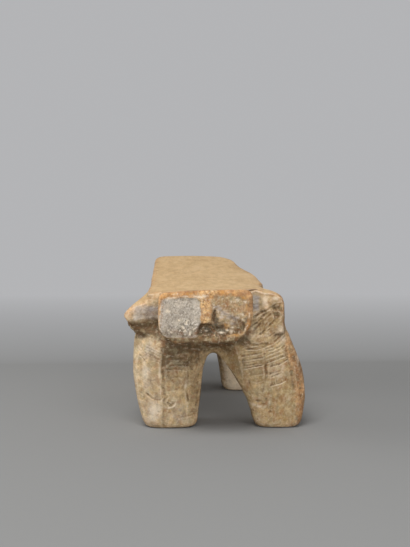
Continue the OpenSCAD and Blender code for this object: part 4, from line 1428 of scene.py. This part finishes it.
class Finish(Nodes):
    """A material under way: the wood first, then coats over it."""

    def __init__(self, name):
        self.material = bpy.data.materials.new(name)
        self.material.use_nodes = True
        super().__init__(self.material.node_tree)
        self.place = self.add("ShaderNodeTexCoord").outputs["Object"]
        browner = self.share("brown", 0.60)
        self.grain = self.group(aged_wood, {"Shade": browner, "Flank": self.field("flank")})
        self.colour = self.mix(self.field("brown"), self.grain["Color"], BROWN_TINT, "MULTIPLY")

    def group(self, tree, values):
        """What a group puts out on the object's coordinates, with the values given."""
        return self.add("ShaderNodeGroup", {"Vector": self.place, **values}, node_tree=tree).outputs

    def field(self, name):
        """A mask kept on the mesh."""
        return self.add("ShaderNodeAttribute", attribute_name=name).outputs["Fac"]

    def share(self, name, part):
        """A part of a mask."""
        return self.times(self.field(name), part)

    def wood(self, kind, contrast, shade=0.0, tinge=0.8):
        """Wood of another colour, from the same grain."""
        colours = {"Light": WOOD[kind + "_light"], "Dark": WOOD[kind + "_dark"]}
        grain = {"Contrast": contrast, "Shade": shade, "Tinge": tinge, "Flank": self.field("flank")}
        return self.group(aged_wood, {**colours, **grain})["Color"]

    def flecked(self, base, patches):
        """A colour with patches of others scattered in it."""
        for kind, size, shift, start, full, cover in patches:
            colours = {"Under": base, "Over": WOOD[kind]}
            shape = {"Size": size, "Shift": shift, "Start": start, "Full": full, "Cover": cover}
            base = self.group(flecks, {**colours, **shape})["Color"]
        return base

    def specked(self, base, size, shares, pale="straw", dark="grey_dark"):
        """A colour with pale and dark specks in it, each with its share, and the specks' height."""
        pale_share, dark_share = shares
        colours = {"Base": base, "Pale": WOOD[pale], "Dark": WOOD[dark]}
        grains = {"Size": size, "Pale Share": pale_share, "Dark Share": dark_share}
        return self.group(speckle, {**colours, **grains})

    def coat(self, mask, over, size, rough, cover=1.0):
        """Lay a colour over what is there, where a mask on the mesh says."""
        edge = {"Mask": self.field(mask), "Speck Size": size, "Break": rough, "Cover": cover}
        self.colour = self.group(worn_coat, {"Under": self.colour, "Over": over, **edge})["Color"]

    def coat_specked(self, mask, edge, *specks):
        """Lay a specked colour over what is there; edge is the coat's size, break and cover."""
        self.coat(mask, self.specked(*specks)["Color"], *edge)

    def done(self, height):
        """Join colour, roughness and bump to the shader."""
        shader = self.tree.nodes["Principled BSDF"].inputs
        self.join(self.colour, shader["Base Color"])
        self.join(self.remap(self.grain["Blotch"], 0.3, 0.7, *ROUGHNESS), shader["Roughness"])
        shader["Specular IOR Level"].default_value = SPECULAR
        uneven = {"Strength": BUMP_STRENGTH, "Distance": BUMP_DEPTH, "Height": height}
        self.join(self.add("ShaderNodeBump", uneven).outputs["Normal"], shader["Normal"])
        return self.material


def common_coats(finish):
    """The coats that every form shares, so that one runs on into the next over a seam."""
    weathered = finish.flecked(finish.colour, WEATHERED)
    grimed = finish.specked(weathered, WORN_SPECK, (0.08, 0.34), "straw", "leg_dark")
    finish.colour = grimed["Color"]
    tan = finish.wood("seat", 1.3, 0.0, 0.15)
    finish.coat_specked("top", (0.010, 0.3), tan, RUBBED_SPECK, (0.10, 0.20), "leg_light", "seat_dark")
    polish = finish.flecked(finish.wood("warm", 1.4, 0.10), POLISHED)
    edge = (0.006, 0.9, 0.95)
    finish.coat_specked("warm", edge, polish, WORN_SPECK, (0.12, 0.50), "raw_light", "warm_dark")
    finish.coat_specked("slate", (0.004, 0.7, 0.9), finish.wood("slate", 1.6), SLATE_SPECK, (0.20, 0.35))
    # Pale chipped wood, with painted highlights and painted light on the rear legs' fronts.
    finish.coat("pale", WOOD["cream"], 0.003, 0.8, 0.66)
    return grimed["Height"]


def end_coats(finish):
    """The sawn end: grey speckled grain, a tan facet, a raw ridge and torn wood, with odd spots."""
    smooth = finish.wood("grey", 0.65, 0.0, 0.3)
    finish.coat_specked("grey_end", (0.003, 0.9), smooth, PEPPER, (0.50, 0.72), "chalk")
    coarse = finish.wood("grey", 1.1, 0.22, 0.4)
    finish.coat_specked("pitted", (0.004, 1.0), coarse, TORN_FIBRE, (0.9, 1.0), "chalk", "moss")
    split = finish.flecked(finish.wood("tan", 1.2), SPLIT_GRAIN)
    finish.coat_specked("tan_end", (0.004, 1.0), split, PEPPER, (0.42, 0.62), "straw", "leg_dark")
    rubbed = finish.flecked(finish.wood("raw", 1.2), POLISHED)
    finish.coat_specked("raw", (0.004, 0.9), rubbed, TORN_FIBRE, (0.30, 0.9), "cream", "warm_dark")
    gouged = finish.flecked(finish.wood("torn", 1.6), TORN_WOOD)
    finish.coat_specked("torn", (0.004, 0.9), gouged, TORN_FIBRE, (0.50, 0.95), "straw", "torn_dark")
    for kind, cover, dark in (
        ("lilac", 0.85, "leg_dark"),
        ("rust", 0.65, "leg_dark"),
        ("amber", 0.80, "leg_dark"),
        ("moss", 0.92, "torn_dark"),
    ):
        specks = (WOOD[kind], PEPPER, (0.24, 0.50), "straw", dark)
        finish.coat_specked("end_" + kind, (0.0025, 1.0, cover), *specks)


def relief(finish, fine):
    """Height for the bump: fibres, rings and fine specks, rubbed down on the seat's top."""
    height = finish.times(finish.grain["Fibre"], 0.5)
    height = finish.plus(height, finish.grain["Rings"], 0.10)
    height = finish.plus(height, fine, 0.7)
    height = finish.plus(height, finish.grain["Checks"], -1.6)
    return finish.times(height, finish.math("SUBTRACT", 1.0, finish.share("top", 0.55)))


def wood_finish(name):
    """One material: shared coats, those of the sawn end if it is that, and a dark coat of dirt and painted
    shade, worn through in places.
    """
    finish = Finish(name)
    fine = common_coats(finish)
    if name == "end_grain":
        end_coats(finish)
    # Dirt and painted shade, laid as one dark coat.
    finish.coat("dirt_and_shade", finish.flecked(WOOD["dirt_and_shade"], WORN_THROUGH), 0.004, 0.8, DIRT_AND_SHADE_COVER)
    # Cream marks on the sawn end, over the dirt: pale specks, with painted highlights along its rim.
    if name == "end_grain":
        finish.coat("end_cream", WOOD["cream"], 0.0022, 1.0, 0.85)
    return finish.done(relief(finish, fine))


# Camera, light, floor.

CAMERA_PLACE = (-0.0480, -1.165, 0.266)
CAMERA_DOWN = 3.99
CAMERA_RIGHT = 1.98
CAMERA_LENS = 53.3

BACKGROUND = (0.455, 0.458, 0.470)
FLOOR_GREY = (0.268, 0.268, 0.264)
WORLD_LIGHT = 0.33
LAMP_AIM = Vector((0.0, 0.0, 0.05))
# Square soft boxes, each as its name, place, size and power.
LAMPS = (
    ("soft_box", (-0.35, -0.95, 1.75), 0.8, 21.0),
    ("front_fill", (-0.30, -2.20, 0.36), 0.9, 14.0),
    ("left_fill", (-1.70, 0.05, 0.90), 0.8, 9.0),
    ("right_fill", (0.70, -1.50, 1.20), 0.8, 5.0),
    ("back_fill", (0.60, 1.60, 0.50), 1.4, 3.6),
)


def make_camera():
    """The photograph's view, for a picture of 410 by 547."""
    data = bpy.data.cameras.new("camera")
    data.sensor_width = 36.0
    data.lens = CAMERA_LENS
    camera = bpy.data.objects.new("camera", data)
    camera.location = CAMERA_PLACE
    camera.rotation_euler = (math.radians(90.0 - CAMERA_DOWN), 0.0, math.radians(-CAMERA_RIGHT))
    bpy.context.scene.collection.objects.link(camera)
    bpy.context.scene.camera = camera


def make_lamps():
    """The soft boxes, all turned to the stool."""
    for name, place, size, power in LAMPS:
        data = bpy.data.lights.new(name, "AREA")
        data.shape = "SQUARE"
        data.size = size
        data.energy = power
        lamp = bpy.data.objects.new(name, data)
        lamp.location = place
        lamp.rotation_euler = (LAMP_AIM - Vector(place)).to_track_quat("-Z", "Y").to_euler()
        bpy.context.scene.collection.objects.link(lamp)


def make_world():
    """Even light from all round; the camera sees the backdrop's grey instead."""
    world = bpy.data.worlds.new("studio")
    bpy.context.scene.world = world
    world.use_nodes = True
    world.node_tree.nodes.clear()
    nodes = Nodes(world.node_tree)
    light = nodes.add("ShaderNodeBackground", {"Color": (1.0, 1.0, 1.0), "Strength": WORLD_LIGHT})
    seen = nodes.add("ShaderNodeBackground", {"Color": BACKGROUND})
    by_camera = nodes.add("ShaderNodeLightPath").outputs["Is Camera Ray"]
    both = nodes.add("ShaderNodeMixShader", {0: by_camera, 1: light.outputs[0], 2: seen.outputs[0]})
    nodes.add("ShaderNodeOutputWorld", {"Surface": both.outputs[0]})


def make_floor():
    """A wide grey floor that runs out into the backdrop's lighter grey where the camera sees it."""
    shape = bmesh.new()
    bmesh.ops.create_circle(shape, cap_ends=True, segments=96, radius=30.0)
    mesh = mesh_from(shape, "studio_floor")
    material = bpy.data.materials.new("studio_grey")
    material.use_nodes = True
    nodes = Nodes(material.node_tree)
    shader = material.node_tree.nodes["Principled BSDF"]
    shader.inputs["Base Color"].default_value = (*FLOOR_GREY, 1.0)
    shader.inputs["Roughness"].default_value = 0.9
    shader.inputs["Specular IOR Level"].default_value = 0.1
    place = nodes.add("ShaderNodeTexCoord").outputs["Object"]
    all_round = nodes.remap(nodes.length(place), 0.9, 2.4)
    back = nodes.add("ShaderNodeSeparateXYZ", {0: place}).outputs["Y"]
    sweep = nodes.math("POWER", nodes.remap(back, 0.30, 1.60), 0.6)
    by_camera = nodes.add("ShaderNodeLightPath").outputs["Is Camera Ray"]
    fade = nodes.times(nodes.math("MAXIMUM", all_round, sweep), by_camera)
    glow = nodes.add("ShaderNodeEmission", {"Color": BACKGROUND})
    both = nodes.add("ShaderNodeMixShader", {0: fade, 1: shader.outputs[0], 2: glow.outputs[0]})
    nodes.join(both.outputs[0], material.node_tree.nodes["Material Output"].inputs["Surface"])
    mesh.materials.append(material)
    link(mesh, "studio_floor")


# The building.


def build_log():
    """Skin, carving, tool marks, wear, and the eight pieces."""
    skin = whole_log()
    web = neighbours(skin)
    points = get_points(skin)
    soft = ramp(points[:, 1], -219.0, -205.0)[:, None]
    points = relaxed(points, web, CRISP_PASSES)
    points = relaxed(points, web, BLEND_PASSES - CRISP_PASSES, 0.5 * soft)
    set_points(skin, carved(points, skin, web))
    tree, its_material = tool_mark_tree()
    finishes = {slot: wood_finish(slot) for slot in dict.fromkeys(SLOTS.values())}
    its_material.default_value = finishes[SLOTS["seat"]]
    skin = adzed(skin, tree)
    wear_fields(skin)
    for name, mesh in parted(skin).items():
        mesh.materials.clear()
        mesh.materials.append(finishes[SLOTS[name]])
        mesh.name = "carved_" + name
        piece = link(mesh, "carved_" + name)
        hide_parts(name)
        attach(piece, "root")


make_camera()
make_world()
make_lamps()
make_floor()
build_log()

bpy.context.scene.view_settings.view_transform = "Standard"
